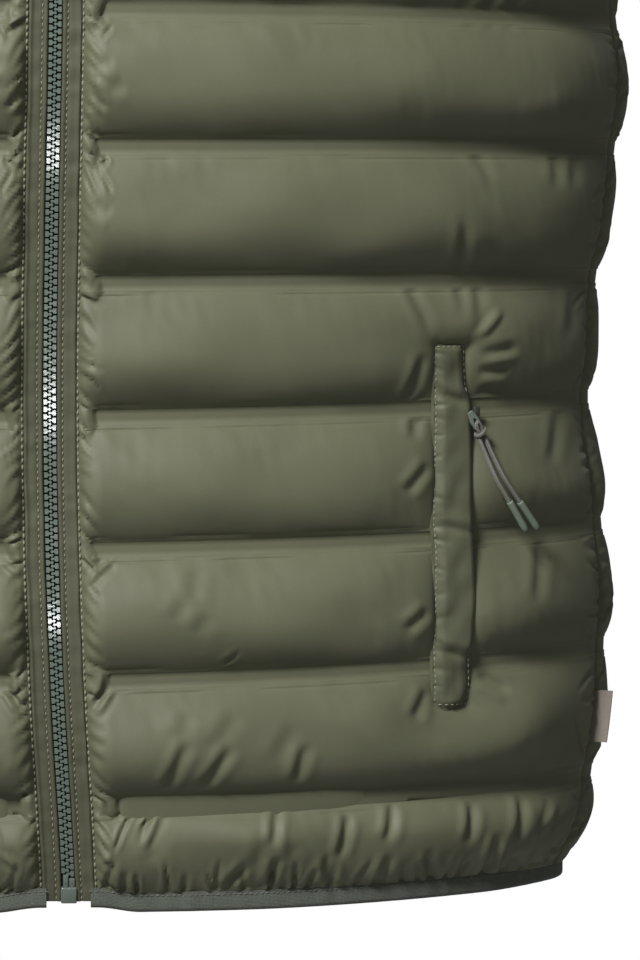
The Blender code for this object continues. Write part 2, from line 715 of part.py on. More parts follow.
def build_slider():
    """Slider at the top of the closed zip, and the tab that hangs from its bail."""
    point, normal, up = zip_place(SLIDER_BOTTOM + SLIDER[2] / 2)
    axes = [(1, 0, 0), tuple(-normal), tuple(up)]
    face = SLIDER[1] / 2
    far, near = BAIL_LENGTH / 2, BAIL_LENGTH / 2 - BAIL_THICK
    roof, root = face + BAIL_HEIGHT, face - BAIL_THICK
    arch = [(root, -far), (roof, -far), (roof, far), (root, far),
            (root, near), (roof - BAIL_THICK, near), (roof - BAIL_THICK, -near), (root, -near)]
    body = box_shape(axes, (0, 0, 0), SLIDER, SLIDER_BEVEL)
    joined("zip_slider", [body, prism_shape(axes, arch, BAIL_WIDTH)], ZIP_PLASTIC, tuple(point))
    hinge = point + normal * (face + (BAIL_HEIGHT - BAIL_THICK) / 2)
    flat = bpy.data.curves.new("zip_pull_tab", "CURVE")
    flat.dimensions = "2D"
    flat.fill_mode = "BOTH"
    flat.extrude = PULL_THICK / 2
    rounded_outline(flat, PULL_WIDTH / 2, -PULL_LENGTH, PULL_THICK / 2, PULL_ROUND)
    rounded_outline(flat, PULL_WIDTH / 2 - PULL_ARM, -PULL_HOLE, -PULL_THICK / 2, PULL_HOLE_ROUND)
    tab = bpy.data.objects.new("zip_pull_tab", flat)
    tab.matrix_world = Matrix.Translation(hinge) @ Matrix([(1, 0, 0), up, normal]).transposed().to_4x4()
    dressed(tab, ZIP_PLASTIC)


def on_front(side, place):
    """Point that stands off a front at a place of its own, with the outward normal there."""
    height = place.height
    angle = float(angle_at(place.across, height))
    here = torso(height, np.array(angle))
    across = torso(height, np.array(angle + ANGLE_STEP)) - here
    above = height + HEIGHT_STEP
    higher = torso(above, np.array(float(angle_at(place.across, above)))) - here
    normal = np.cross(across, higher)
    normal /= np.linalg.norm(normal)
    point = here + normal * place.out
    mirror = np.array([side, 1.0, 1.0])
    return point * mirror, normal * mirror


def build_welt(name, side):
    """Pocket welt: stitched down along the front edge, with a lip that stands off at the other."""
    rows = np.linspace(WELT_BOTTOM, WELT_TOP, WELT_ROWS)
    columns = np.linspace(0, 1, WELT_COLUMNS)
    outer, inner = [], []
    for height in rows:
        for share in columns:
            across = WELT_LEFT + (WELT_RIGHT - WELT_LEFT) * share
            out = WELT_STITCHED_OUT + (WELT_LIP_OUT - WELT_STITCHED_OUT) * share
            inner.append(on_front(side, Route(across, height, out))[0])
            outer.append(on_front(side, Route(across, height, out + WELT_THICK))[0])
    shape = (len(rows), len(columns), 3)
    raised_wall(name, np.array(outer).reshape(shape), np.array(inner).reshape(shape),
                list(range(len(rows))), QUILTED_NYLON)


def smooth_route(points, count):
    """Evenly spaced points on a smooth curve through a cord's own points."""
    knots = np.linspace(0, 1, len(points))
    fine = np.linspace(0, 1, ROUTE_DENSE)
    track = namedtuple("Track", "height x y z")
    table = [track(k, *p) for k, p in zip(knots, points)]
    curve = np.stack([eased(table, name, fine) for name in ("x", "y", "z")], axis=-1)
    return resampled(curve, np.linspace(0, 1, count))


def tube(name, points, radius, finish, origin, parent):
    """A cord or tip: a poly curve with a round section and closed ends."""
    curve = bpy.data.curves.new(name, "CURVE")
    curve.dimensions = "3D"
    curve.bevel_depth = radius
    curve.bevel_resolution = 2
    curve.use_fill_caps = True
    spline = curve.splines.new("POLY")
    spline.points.add(len(points) - 1)
    for knot, place in zip(spline.points, points):
        knot.co = (*(Vector(place) - Vector(origin)), 1.0)
    obj = bpy.data.objects.new(name, curve)
    obj.parent = parent
    return dressed(obj, finish)


def towards(start, end, distance):
    """Point at a distance from one point towards another."""
    line = np.asarray(end) - np.asarray(start)
    return np.asarray(start) + line / np.linalg.norm(line) * distance


def build_pocket_pull(prefix, side):
    """Cord pull of a pocket zip: slider, tab, knot, two strands and their tips."""
    top, normal = on_front(side, TAB_TOP)
    end, _ = on_front(side, TAB_END)
    along = (end - top) / np.linalg.norm(end - top)
    normal = normal - along * np.dot(normal, along)
    normal /= np.linalg.norm(normal)
    across = np.cross(along, normal)
    slider, out = on_front(side, POCKET_SLIDER_AT)
    upright = np.cross(across, out)
    upright /= np.linalg.norm(upright)
    level = np.cross(out, upright)
    hidden = box_shape([level, upright, out], slider, POCKET_SLIDER, POCKET_SLIDER_BEVEL)
    shown(prefix + "_zip_slider", hidden, PULL_PLASTIC)
    hinge = bpy.data.objects.new(prefix + "_pull_hinge", None)
    hinge.location = top
    PARTS.objects.link(hinge)
    tab = box_shape([across, along, normal], along * PULL_TAB[1] / 2, PULL_TAB, PULL_TAB_BEVEL)
    shown(prefix + "_pull_tab", tab, PULL_PLASTIC, hinge)
    build_knot(prefix + "_pull_knot", along * (PULL_TAB[1] + SEAM_GAP + KNOT_RADIUS), hinge)
    for letter, strand, tip_end in (("a", STRAND_A, TIP_END_A), ("b", STRAND_B, TIP_END_B)):
        points = [on_front(side, place)[0] for place in strand]
        route = smooth_route(points, STRAND_POINTS)
        tube(f"{prefix}_pull_cord_{letter}", route, CORD_RADIUS, BRAIDED_CORD, top, hinge)
        finish, _ = on_front(side, tip_end)
        start = towards(route[-1], finish, TIP_CLEAR)
        stop = towards(start, finish, TIP_LENGTH)
        tube(f"{prefix}_pull_tip_{letter}", [start, (start + stop) / 2, stop], TIP_RADIUS,
             PULL_PLASTIC, top, hinge)


def build_knot(name, centre, parent):
    """The knot that holds the two strands to the tab."""
    shape = bmesh.new()
    around, along = KNOT_SEGMENTS
    bmesh.ops.create_uvsphere(shape, u_segments=around, v_segments=along, radius=KNOT_RADIUS)
    bmesh.ops.translate(shape, vec=Vector(centre), verts=shape.verts)
    shown(name, shape, BRAIDED_CORD, parent)


def build_label():
    """Blank woven tab that stands out of the left side seam."""
    sections = []
    for height in np.linspace(LABEL_BOTTOM, LABEL_TOP, LABEL_ROWS):
        angle = float(side_angle(height))
        seam = torso(height, np.array(angle))
        run = torso(height, np.array(angle + ANGLE_STEP)) - torso(height, np.array(angle - ANGLE_STEP))
        along = run / np.linalg.norm(run)
        out = np.cross(along, np.array([0.0, 0.0, 1.0]))
        root = seam + out * LABEL_CLEAR
        end = root + out * LABEL_REACH
        thick = along * LABEL_THICK / 2
        sections.append(np.array([root - thick, end - thick, end + thick, root + thick]))
    loft("side_label", sections, LABEL_TAPE)


def build():
    """All the sewn pieces, then the hard ones."""
    left = build_front("front_left", 1)
    right = build_front("front_right", -1)
    back = build_back()
    build_collar(left[0], right[0], back[0])
    build_hem_binding(left, right, back)
    build_armhole_binding("armhole_binding_left", left, back, 0)
    build_armhole_binding("armhole_binding_right", right, back, -1)
    build_zip()
    for prefix, side in (("pocket_left", 1), ("pocket_right", -1)):
        build_welt(prefix + "_welt", side)
        build_pocket_pull(prefix, side)
    build_label()


build()
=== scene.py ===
# %% [markdown]
# # Sleeveless quilted jacket
# The object is a hollow garment of padded nylon, zipped up the front. Every sewn piece is
# rebuilt here on the form of its own solid, with the folds and puckers that sewing gives it.

# %% Frame
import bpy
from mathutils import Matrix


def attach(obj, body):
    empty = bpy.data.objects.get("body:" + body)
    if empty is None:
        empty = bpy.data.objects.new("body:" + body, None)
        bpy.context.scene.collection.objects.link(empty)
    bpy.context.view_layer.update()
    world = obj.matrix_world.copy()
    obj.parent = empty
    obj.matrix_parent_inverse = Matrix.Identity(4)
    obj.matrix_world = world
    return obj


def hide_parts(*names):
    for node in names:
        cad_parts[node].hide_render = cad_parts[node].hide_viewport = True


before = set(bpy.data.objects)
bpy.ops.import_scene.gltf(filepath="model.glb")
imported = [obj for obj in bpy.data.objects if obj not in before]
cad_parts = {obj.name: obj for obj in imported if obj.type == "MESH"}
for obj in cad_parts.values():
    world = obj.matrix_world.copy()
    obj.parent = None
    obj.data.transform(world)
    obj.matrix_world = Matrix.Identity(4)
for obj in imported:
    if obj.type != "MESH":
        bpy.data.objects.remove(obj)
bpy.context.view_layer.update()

import math
from collections import namedtuple

import bmesh
import bpy
import numpy as np
from mathutils import Matrix, Vector

scene = bpy.context.scene
print("solids loaded:", len(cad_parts))

# %% [markdown]
# ## Camera
# A long lens from just under chest height keeps the quilting lines level and the side steep.
# The camera stands straight before the zip and looks towards the pocket, so the zip is near
# the left edge of the picture.

# %% Camera
EYE = Vector((0.0, -2.294, -0.3996))
AIM = Vector((0.1119, -0.094, -0.4974))
FRONT_PLANE = -0.094
lens = bpy.data.cameras.new("camera")
lens.lens = 194.3
lens.sensor_width = 36.0
camera = bpy.data.objects.new("camera", lens)
camera.location = EYE
camera.rotation_euler = (AIM - EYE).to_track_quat("-Z", "Y").to_euler()
scene.collection.objects.link(camera)
scene.camera = camera
print("camera:", [round(v, 3) for v in EYE], "lens", lens.lens)

# %% [markdown]
# ## Form of the torso
# The solids follow one table of sections and one of quilting lines. The same tables are
# repeated here, so that the cloth lies on its solids.

# %% Tables of the form
LENGTH = 0.680
NECK_HALF_WIDTH = 0.085
BACK_NECK_DROP = 0.015
COLLAR_FRONT = 0.080
COLLAR_SIDE = 0.056
COLLAR_BACK = 0.066
COLLAR_LEAN = 0.12
ARMHOLE_BOTTOM = 0.410
SHOULDER_SLOPE = 0.42
SHOULDER_EASE = 0.060
SHOULDER_ROUND = 0.170
SHOULDER_POWER = 2.3
WIDTH_POWER = 2.1
DEPTH_POWER = 0.58
WALL = 0.0025
PUFF = 0.0095
HEM_PUFF = 0.0080
COLLAR_PUFF = 0.0070
BAND = 0.0060
FRONT_EDGE = 0.0110
WELT_LEFT = 0.1610
WELT_RIGHT = 0.1772
WELT_BOTTOM = 0.0830
WELT_TOP = 0.2405
DENSE = 241
ROUTE_DENSE = 80
ANGLE_STEP = 0.01
HEIGHT_STEP = 0.004

Section = namedtuple("Section", "height half_width front_depth back_depth middle_y")
SECTIONS = [
    Section(0.000, 0.2220, 0.098, 0.090, 0.018),
    Section(0.026, 0.2340, 0.103, 0.094, 0.018),
    Section(0.060, 0.2400, 0.108, 0.098, 0.018),
    Section(0.110, 0.2440, 0.112, 0.099, 0.018),
    Section(0.160, 0.2425, 0.112, 0.097, 0.018),
    Section(0.200, 0.2370, 0.112, 0.096, 0.018),
    Section(0.260, 0.2390, 0.116, 0.102, 0.018),
    Section(0.320, 0.2475, 0.123, 0.110, 0.018),
    Section(0.360, 0.2505, 0.126, 0.115, 0.018),
    Section(0.410, 0.2450, 0.127, 0.118, 0.018),
    Section(0.500, 0.2370, 0.125, 0.118, 0.012),
    Section(0.600, 0.2350, 0.118, 0.108, 0.003),
    Section(0.680, 0.2350, 0.110, 0.098, 0.000),
]
# Heights of the quilting lines at the centre front, the side and the centre back.
QUILT_LINES = np.array([
    (0.0073, 0.0073, 0.0073),
    (0.0426, 0.0476, 0.0476),
    (0.0966, 0.1046, 0.1046),
    (0.1530, 0.1585, 0.1585),
    (0.2094, 0.2150, 0.2150),
    (0.2664, 0.2690, 0.2690),
    (0.3240, 0.3260, 0.3260),
    (0.3817, 0.3810, 0.3830),
    (0.4387, 0.4340, 0.4400),
    (0.4957, 0.4840, 0.4960),
    (0.5527, 0.5310, 0.5480),
    (0.6097, 0.5740, 0.5940),
    (0.6520, 0.6120, 0.6330),
    (0.6800, 0.6410, 0.6650),
])
Sway = namedtuple("Sway", "height shift")
FRONT_SWAY = [
    Sway(0.000, 0.0050),
    Sway(0.026, 0.0038),
    Sway(0.090, 0.0002),
    Sway(0.149, -0.0020),
    Sway(0.217, -0.0029),
    Sway(0.285, -0.0020),
    Sway(0.387, 0.0000),
    Sway(0.450, 0.0000),
    Sway(0.760, 0.0000),
]

print("cross-sections:", len(SECTIONS), "quilting lines:", len(QUILT_LINES))

# %% Torso surface
def eased(table, name, height):
    """A table's column at a height, on a smooth curve through its rows."""
    knots = np.array([row.height for row in table])
    values = np.array([getattr(row, name) for row in table])
    slopes = np.gradient(values, knots)
    height = np.clip(height, knots[0], knots[-1])
    i = np.clip(np.searchsorted(knots, height) - 1, 0, len(knots) - 2)
    span = knots[i + 1] - knots[i]
    t = (height - knots[i]) / span
    start = values[i] * (1 + 2 * t) * (1 - t) ** 2 + slopes[i] * span * t * (1 - t) ** 2
    end = values[i + 1] * t ** 2 * (3 - 2 * t) - slopes[i + 1] * span * t ** 2 * (1 - t)
    return start + end


def shoulder_height(x):
    """Height of the shoulder line over a distance from the middle."""
    run = np.sqrt(np.square(x) + SHOULDER_EASE ** 2)
    return LENGTH - SHOULDER_SLOPE * (run - math.hypot(NECK_HALF_WIDTH, SHOULDER_EASE))


def torso(height, angle):
    """Point of the left half at a height; the angle runs from the front to the back."""
    x = eased(SECTIONS, "half_width", height) * np.sin(angle) ** (2 / WIDTH_POWER)
    drop = np.clip((shoulder_height(x) - height) / SHOULDER_ROUND, 0, 1)
    rounding = (1 - (1 - drop) ** SHOULDER_POWER) ** (1 / SHOULDER_POWER)
    front = -eased(SECTIONS, "front_depth", height)
    back = eased(SECTIONS, "back_depth", height)
    reach = np.abs(np.cos(angle)) ** (2 * DEPTH_POWER) * rounding
    y = eased(SECTIONS, "middle_y", height) + np.where(angle < math.pi / 2, front, back) * reach
    return np.stack(np.broadcast_arrays(x, y, height - LENGTH), axis=-1)


def angle_at(x, height):
    """Angle of the front point at a distance from the middle."""
    half = eased(SECTIONS, "half_width", height)
    return np.arcsin((x / half) ** (WIDTH_POWER / 2))


def side_angle(height):
    """Angle of the side seam, which lies in the plane y = 0."""
    share = eased(SECTIONS, "middle_y", height) / eased(SECTIONS, "front_depth", height)
    return np.arccos(share ** (0.5 / DEPTH_POWER))


def sway(height):
    """Shift of the front edge to the wearer's left."""
    return eased(FRONT_SWAY, "shift", height)


print("torso half width at the hem:", round(float(eased(SECTIONS, "half_width", 0.0)), 4))

# %% Armhole and neck edges
Armhole = namedtuple("Armhole", "height front back")
SEAM_TOP = math.degrees(side_angle(ARMHOLE_BOTTOM))
ARMHOLE = [
    Armhole(ARMHOLE_BOTTOM, SEAM_TOP, SEAM_TOP),
    Armhole(0.428, 68.0, 91.0),
    Armhole(0.460, 56.0, 107.0),
    Armhole(0.500, 49.0, 117.0),
    Armhole(0.550, 47.0, 123.0),
    Armhole(0.600, 50.0, 125.0),
    Armhole(0.641, 54.0, 126.0),
]
NECK_PIT = QUILT_LINES[-3][0] - BAND / 2


def outer_angle(height, edge):
    """Angle where a panel ends: the side seam, or its own edge of the armhole."""
    if height <= ARMHOLE_BOTTOM:
        return float(side_angle(height))
    return math.radians(float(eased(ARMHOLE, edge, height)))


def inner_edge(height):
    """Distance of a front's inner edge from the zip: straight, then round the neck."""
    if height <= NECK_PIT:
        return FRONT_EDGE
    left = (LENGTH - height) / (LENGTH - NECK_PIT)
    return FRONT_EDGE + (NECK_HALF_WIDTH - FRONT_EDGE) * math.sqrt(1 - left ** 2)


print("height of the neck pit:", round(float(NECK_PIT), 3))

# %% Lines and grids
def run_of(points):
    """Distance along a line of each of its points from the first one."""
    return np.concatenate([[0.0], np.cumsum(np.linalg.norm(np.diff(points, axis=0), axis=1))])


def resampled(points, fractions):
    """Points at the given shares of a line's length."""
    run = run_of(points)
    at = np.asarray(fractions) * run[-1]
    return np.stack([np.interp(at, run, points[:, k]) for k in range(points.shape[1])], axis=-1)


def unit(vectors):
    """Vectors brought to length one."""
    return vectors / np.maximum(np.linalg.norm(vectors, axis=-1, keepdims=True), 1e-12)


def grid_normals(grid, flip=1.0):
    """Unit normals of a grid of points, on the garment's outer side."""
    return unit(np.cross(np.gradient(grid, axis=1), np.gradient(grid, axis=0)) * flip)


def on_front(side, across, height, out):
    """Points that stand off a front at places of its own, with the outward normals there."""
    angle = angle_at(across, height)
    here = torso(height, angle)
    sideways = torso(height, angle + ANGLE_STEP) - here
    above = height + HEIGHT_STEP
    higher = torso(above, angle_at(across, above)) - here
    normal = unit(np.cross(sideways, higher))
    mirror = np.array([side, 1.0, 1.0])
    return (here + normal * np.asarray(out)[..., None]) * mirror, normal * mirror


def smooth_route(points, count):
    """Evenly spaced points on a smooth curve through a few points."""
    track = namedtuple("Track", "height x y z")
    table = [track(k, *p) for k, p in zip(np.linspace(0, 1, len(points)), points)]
    fine = np.linspace(0, 1, ROUTE_DENSE)
    curve = np.stack([eased(table, name, fine) for name in ("x", "y", "z")], axis=-1)
    return resampled(curve, np.linspace(0, 1, count))


def smooth(t):
    """A soft step from 0 to 1."""
    t = np.clip(t, 0, 1)
    return t * t * (3 - 2 * t)


print("normal at the left pocket:", np.round(on_front(1, WELT_LEFT, WELT_BOTTOM, 0.0)[1], 2))

# %% [markdown]
# ## Surfaces
# The surfaces are worked out in the shader and need no pictures. Two node groups are shared:
# one gives cloth a slight unevenness, the other gives a braid or rib along a strip's own map.

# %% Shader helpers
def wire(tree, start, end):
    """Joins two sockets of a tree."""
    tree.links.new(start, end)


def group(name, kind, inputs, outputs):
    """A node group with named sockets, and its two end nodes."""
    tree = bpy.data.node_groups.new(name, kind)
    for flow, names in (("INPUT", inputs), ("OUTPUT", outputs)):
        for socket, value in names.items():
            tree.interface.new_socket(socket, in_out=flow, socket_type="NodeSocket" + value)
    return tree, tree.nodes.new("NodeGroupInput").outputs, tree.nodes.new("NodeGroupOutput").inputs


def maths(tree, operation, *values):
    """Result of a sum on numbers and sockets."""
    node = tree.nodes.new("ShaderNodeMath")
    node.operation = operation
    for socket, value in zip(node.inputs, values):
        if isinstance(value, bpy.types.NodeSocket):
            wire(tree, value, socket)
        else:
            socket.default_value = value
    return node.outputs[0]


def noise(tree, place, detail):
    """A noise node at a place."""
    node = tree.nodes.new("ShaderNodeTexNoise")
    node.inputs["Detail"].default_value = detail
    wire(tree, place, node.inputs["Vector"])
    return node


def ranged(tree, value, low, high):
    """A share from 0 to 1, brought between two values."""
    node = tree.nodes.new("ShaderNodeMapRange")
    node.inputs["To Min"].default_value = low
    node.inputs["To Max"].default_value = high
    wire(tree, value, node.inputs["Value"])
    return node.outputs["Result"]


def tinted(tree, colour, share):
    """A colour made lighter or darker."""
    node = tree.nodes.new("ShaderNodeVectorMath")
    node.operation = "SCALE"
    wire(tree, colour, node.inputs[0])
    wire(tree, share, node.inputs["Scale"])
    return node.outputs[0]


print("shader helpers ready")

# %% Shared shader groups
CLOUD_SCALE = 38.0
CLOUD_SHADE = (0.88, 1.12)
ROUGHNESS_SPREAD = 0.12
SPECULAR = 0.4
SHEEN_ROUGHNESS = 0.4
COAT_ROUGHNESS = 0.25


def cloth_group():
    """Unevenness of cloth: a colour, a roughness and a height."""
    tree, source, sink = group(
        "cloth_unevenness", "ShaderNodeTree",
        {"Colour": "Color", "Roughness": "Float", "Grain": "Float", "Speckle": "Float"},
        {"Colour": "Color", "Roughness": "Float", "Height": "Float"})
    place = tree.nodes.new("ShaderNodeTexCoord").outputs["Object"]
    cloud = noise(tree, place, 3.0)
    cloud.inputs["Scale"].default_value = CLOUD_SCALE
    grain = noise(tree, place, 2.0)
    wire(tree, source["Grain"], grain.inputs["Scale"])
    centred = maths(tree, "SUBTRACT", grain.outputs["Fac"], 0.5)
    shade = ranged(tree, cloud.outputs["Fac"], *CLOUD_SHADE)
    speck = maths(tree, "MULTIPLY_ADD", centred, source["Speckle"], shade)
    rough = maths(tree, "MULTIPLY_ADD", centred, ROUGHNESS_SPREAD, source["Roughness"])
    wire(tree, tinted(tree, source["Colour"], speck), sink["Colour"])
    wire(tree, rough, sink["Roughness"])
    wire(tree, grain.outputs["Fac"], sink["Height"])
    return tree


def braid_group():
    """Crossing diagonal yarns on a strip's own map, as a share from 0 to 1."""
    tree, source, sink = group("crossing_yarns", "ShaderNodeTree", {"Along": "Float", "Around": "Float"},
                               {"Yarn": "Float"})
    place = tree.nodes.new("ShaderNodeUVMap")
    place.uv_map = "strip"
    split = tree.nodes.new("ShaderNodeSeparateXYZ")
    wire(tree, place.outputs["UV"], split.inputs[0])
    along = maths(tree, "MULTIPLY", split.outputs[0], source["Along"])
    around = maths(tree, "MULTIPLY", split.outputs[1], source["Around"])
    waves = [maths(tree, "SINE", maths(tree, way, along, around)) for way in ("ADD", "SUBTRACT")]
    wire(tree, maths(tree, "MULTIPLY_ADD", maths(tree, "MULTIPLY", *waves), 0.5, 0.5), sink["Yarn"])
    return tree


CLOTH = cloth_group()
BRAID = braid_group()

print("shader groups:", len(bpy.data.node_groups))

# %% Finishes
Finish = namedtuple("Finish", "colour roughness grain speckle bump depth sheen coat")
Yarn = namedtuple("Yarn", "along around contrast")


def filled_group(tree, shared, values):
    """A shared group in a material, with its inputs set."""
    node = tree.nodes.new("ShaderNodeGroup")
    node.node_tree = shared
    for name, value in values.items():
        node.inputs[name].default_value = value
    return node.outputs


def surface(name, finish, yarn=None):
    """A material of cloth or plastic; a yarn adds a braid or rib."""
    material = bpy.data.materials.new(name)
    material.use_nodes = True
    tree = material.node_tree
    shader = tree.nodes["Principled BSDF"].inputs
    shader["Sheen Weight"].default_value = finish.sheen
    shader["Specular IOR Level"].default_value = SPECULAR
    shader["Sheen Roughness"].default_value = SHEEN_ROUGHNESS
    shader["Coat Weight"].default_value = finish.coat
    shader["Coat Roughness"].default_value = COAT_ROUGHNESS
    cloth = filled_group(tree, CLOTH, {"Colour": (*finish.colour, 1.0), "Roughness": finish.roughness,
                                       "Grain": finish.grain, "Speckle": finish.speckle})
    colour, height = cloth["Colour"], cloth["Height"]
    if yarn is not None:
        height = filled_group(tree, BRAID, {"Along": yarn.along, "Around": yarn.around})["Yarn"]
        colour = tinted(tree, colour, ranged(tree, height, 1.0 - yarn.contrast, 1.0 + yarn.contrast))
    bump = tree.nodes.new("ShaderNodeBump")
    bump.inputs["Strength"].default_value = finish.bump
    bump.inputs["Distance"].default_value = finish.depth
    wire(tree, height, bump.inputs["Height"])
    wire(tree, colour, shader["Base Color"])
    wire(tree, cloth["Roughness"], shader["Roughness"])
    wire(tree, bump.outputs["Normal"], shader["Normal"])
    return material


PLAIN_NYLON = Finish((0.132, 0.138, 0.083), 0.58, 900, 0.10, 0.10, 0.0004, 0.05, 0.0)
MOULDED = Finish((0.136, 0.170, 0.144), 0.10, 500, 0.10, 0.05, 0.0003, 0.0, 0.0)
SEWING = Finish((0.235, 0.240, 0.165), 0.6, 900, 0.2, 0.1, 0.0002, 0.1, 0.0)
RIBBED = Finish((0.108, 0.122, 0.098), 0.85, 1500, 0.9, 0.5, 0.0003, 0.1, 0.0)
NYLON = surface("quilted_nylon", PLAIN_NYLON)
# The strips beside the zip take the quilted nylon at about two thirds of its brightness: painted shade.
SHADED_STRIP_NYLON = surface("placket_nylon", PLAIN_NYLON._replace(colour=(0.088, 0.091, 0.055), speckle=0.12))
# The welts take the quilted nylon at four fifths of its brightness: painted shade.
SHADED_WELT_NYLON = surface("welt_nylon", PLAIN_NYLON._replace(colour=(0.106, 0.111, 0.067)))
TAPE = surface("zip_tape", Finish((0.030, 0.033, 0.026), 0.8, 900, 0.3, 0.2, 0.0004, 0.0, 0.0))
ELASTIC = surface("elastic_binding", RIBBED, Yarn(5200.0, 5200.0, 0.22))
PLASTIC = surface("zip_plastic", MOULDED)
PULL_PLASTIC = surface("pull_plastic",
                       MOULDED._replace(colour=(0.185, 0.232, 0.180), roughness=0.38, coat=0.1))
# The pocket slider's plastic is made near black: painted shade of the zip opening beside the pull's tab.
SLIDER_SHADE_PLASTIC = surface("slider_plastic", MOULDED._replace(colour=(0.050, 0.055, 0.040), roughness=0.5))
CORD = surface("braided_cord", Finish((0.190, 0.184, 0.160), 0.75, 2200, 0.6, 0.6, 0.0004, 0.05, 0.0),
               Yarn(5000.0, 12.566, 0.45))
THREAD = surface("thread", SEWING)
DARK_THREAD = surface("dark_thread", SEWING._replace(colour=(0.135, 0.146, 0.118), roughness=0.7))
LABEL = surface("label_tape", RIBBED._replace(colour=(0.255, 0.226, 0.186), speckle=0.4),
                Yarn(7000.0, 7000.0, 0.10))
print("materials:", len(bpy.data.materials))

# %% [markdown]
# ## Mesh helpers
# A piece of cloth is a grid of points, so each piece is built from arrays: a wall between an
# outer and an inner grid, a section swept along a line, or a round tube along a route.

# %% Mesh helpers
WALL_SHARP = 75
SWEPT_SHARP = 60
MOULDED_SHARP = 50


def piece(name, points, faces, material, smooth=True, strip=None):
    """A mesh object at the origin; strip gives each corner's place on its own map in metres."""
    mesh = bpy.data.meshes.new(name)
    mesh.from_pydata(np.asarray(points).tolist(), [], faces)
    if strip is not None:
        layer = mesh.uv_layers.new(name="strip")
        corners = np.zeros(len(mesh.loops), int)
        mesh.loops.foreach_get("vertex_index", corners)
        layer.data.foreach_set("uv", np.asarray(strip, float)[corners].ravel())
    mesh.polygons.foreach_set("use_smooth", np.full(len(mesh.polygons), smooth))
    mesh.materials.append(material)
    mesh.validate()
    mesh.update()
    obj = bpy.data.objects.new(name, mesh)
    scene.collection.objects.link(obj)
    return obj


def outwards(obj):
    """Turns a closed mesh's faces outwards."""
    shape = bmesh.new()
    shape.from_mesh(obj.data)
    bmesh.ops.recalc_face_normals(shape, faces=shape.faces)
    shape.to_mesh(obj.data)
    shape.free()
    return obj


def wall(name, outer, inner, kept, material):
    """A closed wall between an outer grid and an inner grid that keeps only some of its rows."""
    rows, columns = outer.shape[:2]
    points = np.concatenate([outer.reshape(-1, 3), inner[kept].reshape(-1, 3)])
    base = rows * columns
    faces = []
    r, c = np.meshgrid(np.arange(rows - 1), np.arange(columns - 1), indexing="ij")
    k = (r * columns + c).ravel()
    faces += np.stack([k, k + 1, k + columns + 1, k + columns], axis=-1).tolist()
    r, c = np.meshgrid(np.arange(len(kept) - 1), np.arange(columns - 1), indexing="ij")
    k = base + (r * columns + c).ravel()
    faces += np.stack([k, k + columns, k + columns + 1, k + 1], axis=-1).tolist()
    top = base + (len(kept) - 1) * columns
    last = (rows - 1) * columns
    for c in range(columns - 1):
        faces.append((c, base + c, base + c + 1, c + 1))
        faces.append((last + c, last + c + 1, top + c + 1, top + c))
    for c in (0, columns - 1):
        for k in range(len(kept) - 1):
            near, far = base + k * columns + c, base + (k + 1) * columns + c
            for r in range(kept[k], kept[k + 1]):
                faces.append((near, r * columns + c, (r + 1) * columns + c))
            faces.append((near, kept[k + 1] * columns + c, far))
    obj = outwards(piece(name, points, faces, material))
    obj.data.set_sharp_from_angle(angle=math.radians(WALL_SHARP))
    return obj


print("panel helpers ready")

# %% Swept pieces
def ring_faces(count, size, closed=False):
    """Faces through equal rings of points, capped unless they join end to end."""
    faces = []
    for i in range(count if closed else count - 1):
        j = (i + 1) % count
        for k in range(size):
            m = (k + 1) % size
            faces.append((i * size + k, i * size + m, j * size + m, j * size + k))
    if not closed:
        faces += [tuple(range(size)), tuple(range((count - 1) * size, count * size))]
    return faces


def strip_map(along, around):
    """Places on a strip's own map for each ring and each point of a ring."""
    return np.stack(np.meshgrid(along, around, indexing="ij"), axis=-1).reshape(-1, 2)


def swept(name, sections, material, closed=False, sharp=SWEPT_SHARP):
    """A closed solid through equal sections of points, joined end to end if closed."""
    count, size = sections.shape[:2]
    strip = strip_map(run_of(sections.mean(axis=1)), run_of(sections[count // 2]))
    faces = ring_faces(count, size, closed)
    obj = outwards(piece(name, sections.reshape(-1, 3), faces, material, strip=strip))
    obj.data.set_sharp_from_angle(angle=math.radians(sharp))
    return obj


def tube(name, route, radii, material, sides=14):
    """A round tube along a route with a radius at each point, its map going round once."""
    along = unit(np.gradient(route, axis=0))
    normals = [unit(np.cross(along[0], (0.3, 0.2, 1.0)))]
    for step in along[1:]:
        normals.append(unit(normals[-1] - step * np.dot(normals[-1], step)))
    normals = np.array(normals)
    across = np.cross(along, normals)
    turn = np.linspace(0, 2 * math.pi, sides, endpoint=False)
    ring = normals[:, None] * np.cos(turn)[None, :, None] + across[:, None] * np.sin(turn)[None, :, None]
    points = route[:, None] + ring * np.asarray(radii)[:, None, None]
    strip = strip_map(run_of(route), turn / (2 * math.pi))
    return outwards(piece(name, points.reshape(-1, 3), ring_faces(len(route), sides), material, strip=strip))


def bevelled(name, centre, axes, size, bevel, material):
    """A small box with rounded edges, turned to three axes."""
    shape = bmesh.new()
    bmesh.ops.create_cube(shape, size=1.0)
    turn = Matrix([axes[0], axes[1], axes[2]]).transposed().to_4x4()
    place = Matrix.Translation(Vector(centre)) @ turn @ Matrix.Diagonal((*size, 1.0))
    bmesh.ops.transform(shape, matrix=place, verts=shape.verts)
    bmesh.ops.recalc_face_normals(shape, faces=shape.faces)
    bmesh.ops.bevel(shape, geom=shape.edges[:], offset=bevel, segments=3, affect="EDGES", profile=0.5)
    mesh = bpy.data.meshes.new(name)
    shape.to_mesh(mesh)
    shape.free()
    mesh.polygons.foreach_set("use_smooth", np.full(len(mesh.polygons), True))
    mesh.set_sharp_from_angle(angle=math.radians(MOULDED_SHARP))
    mesh.materials.append(material)
    obj = bpy.data.objects.new(name, mesh)
    scene.collection.objects.link(obj)
    return obj


print("sweep helpers ready")

# %% Places in the frame
SIDES = {1: "left", -1: "right"}


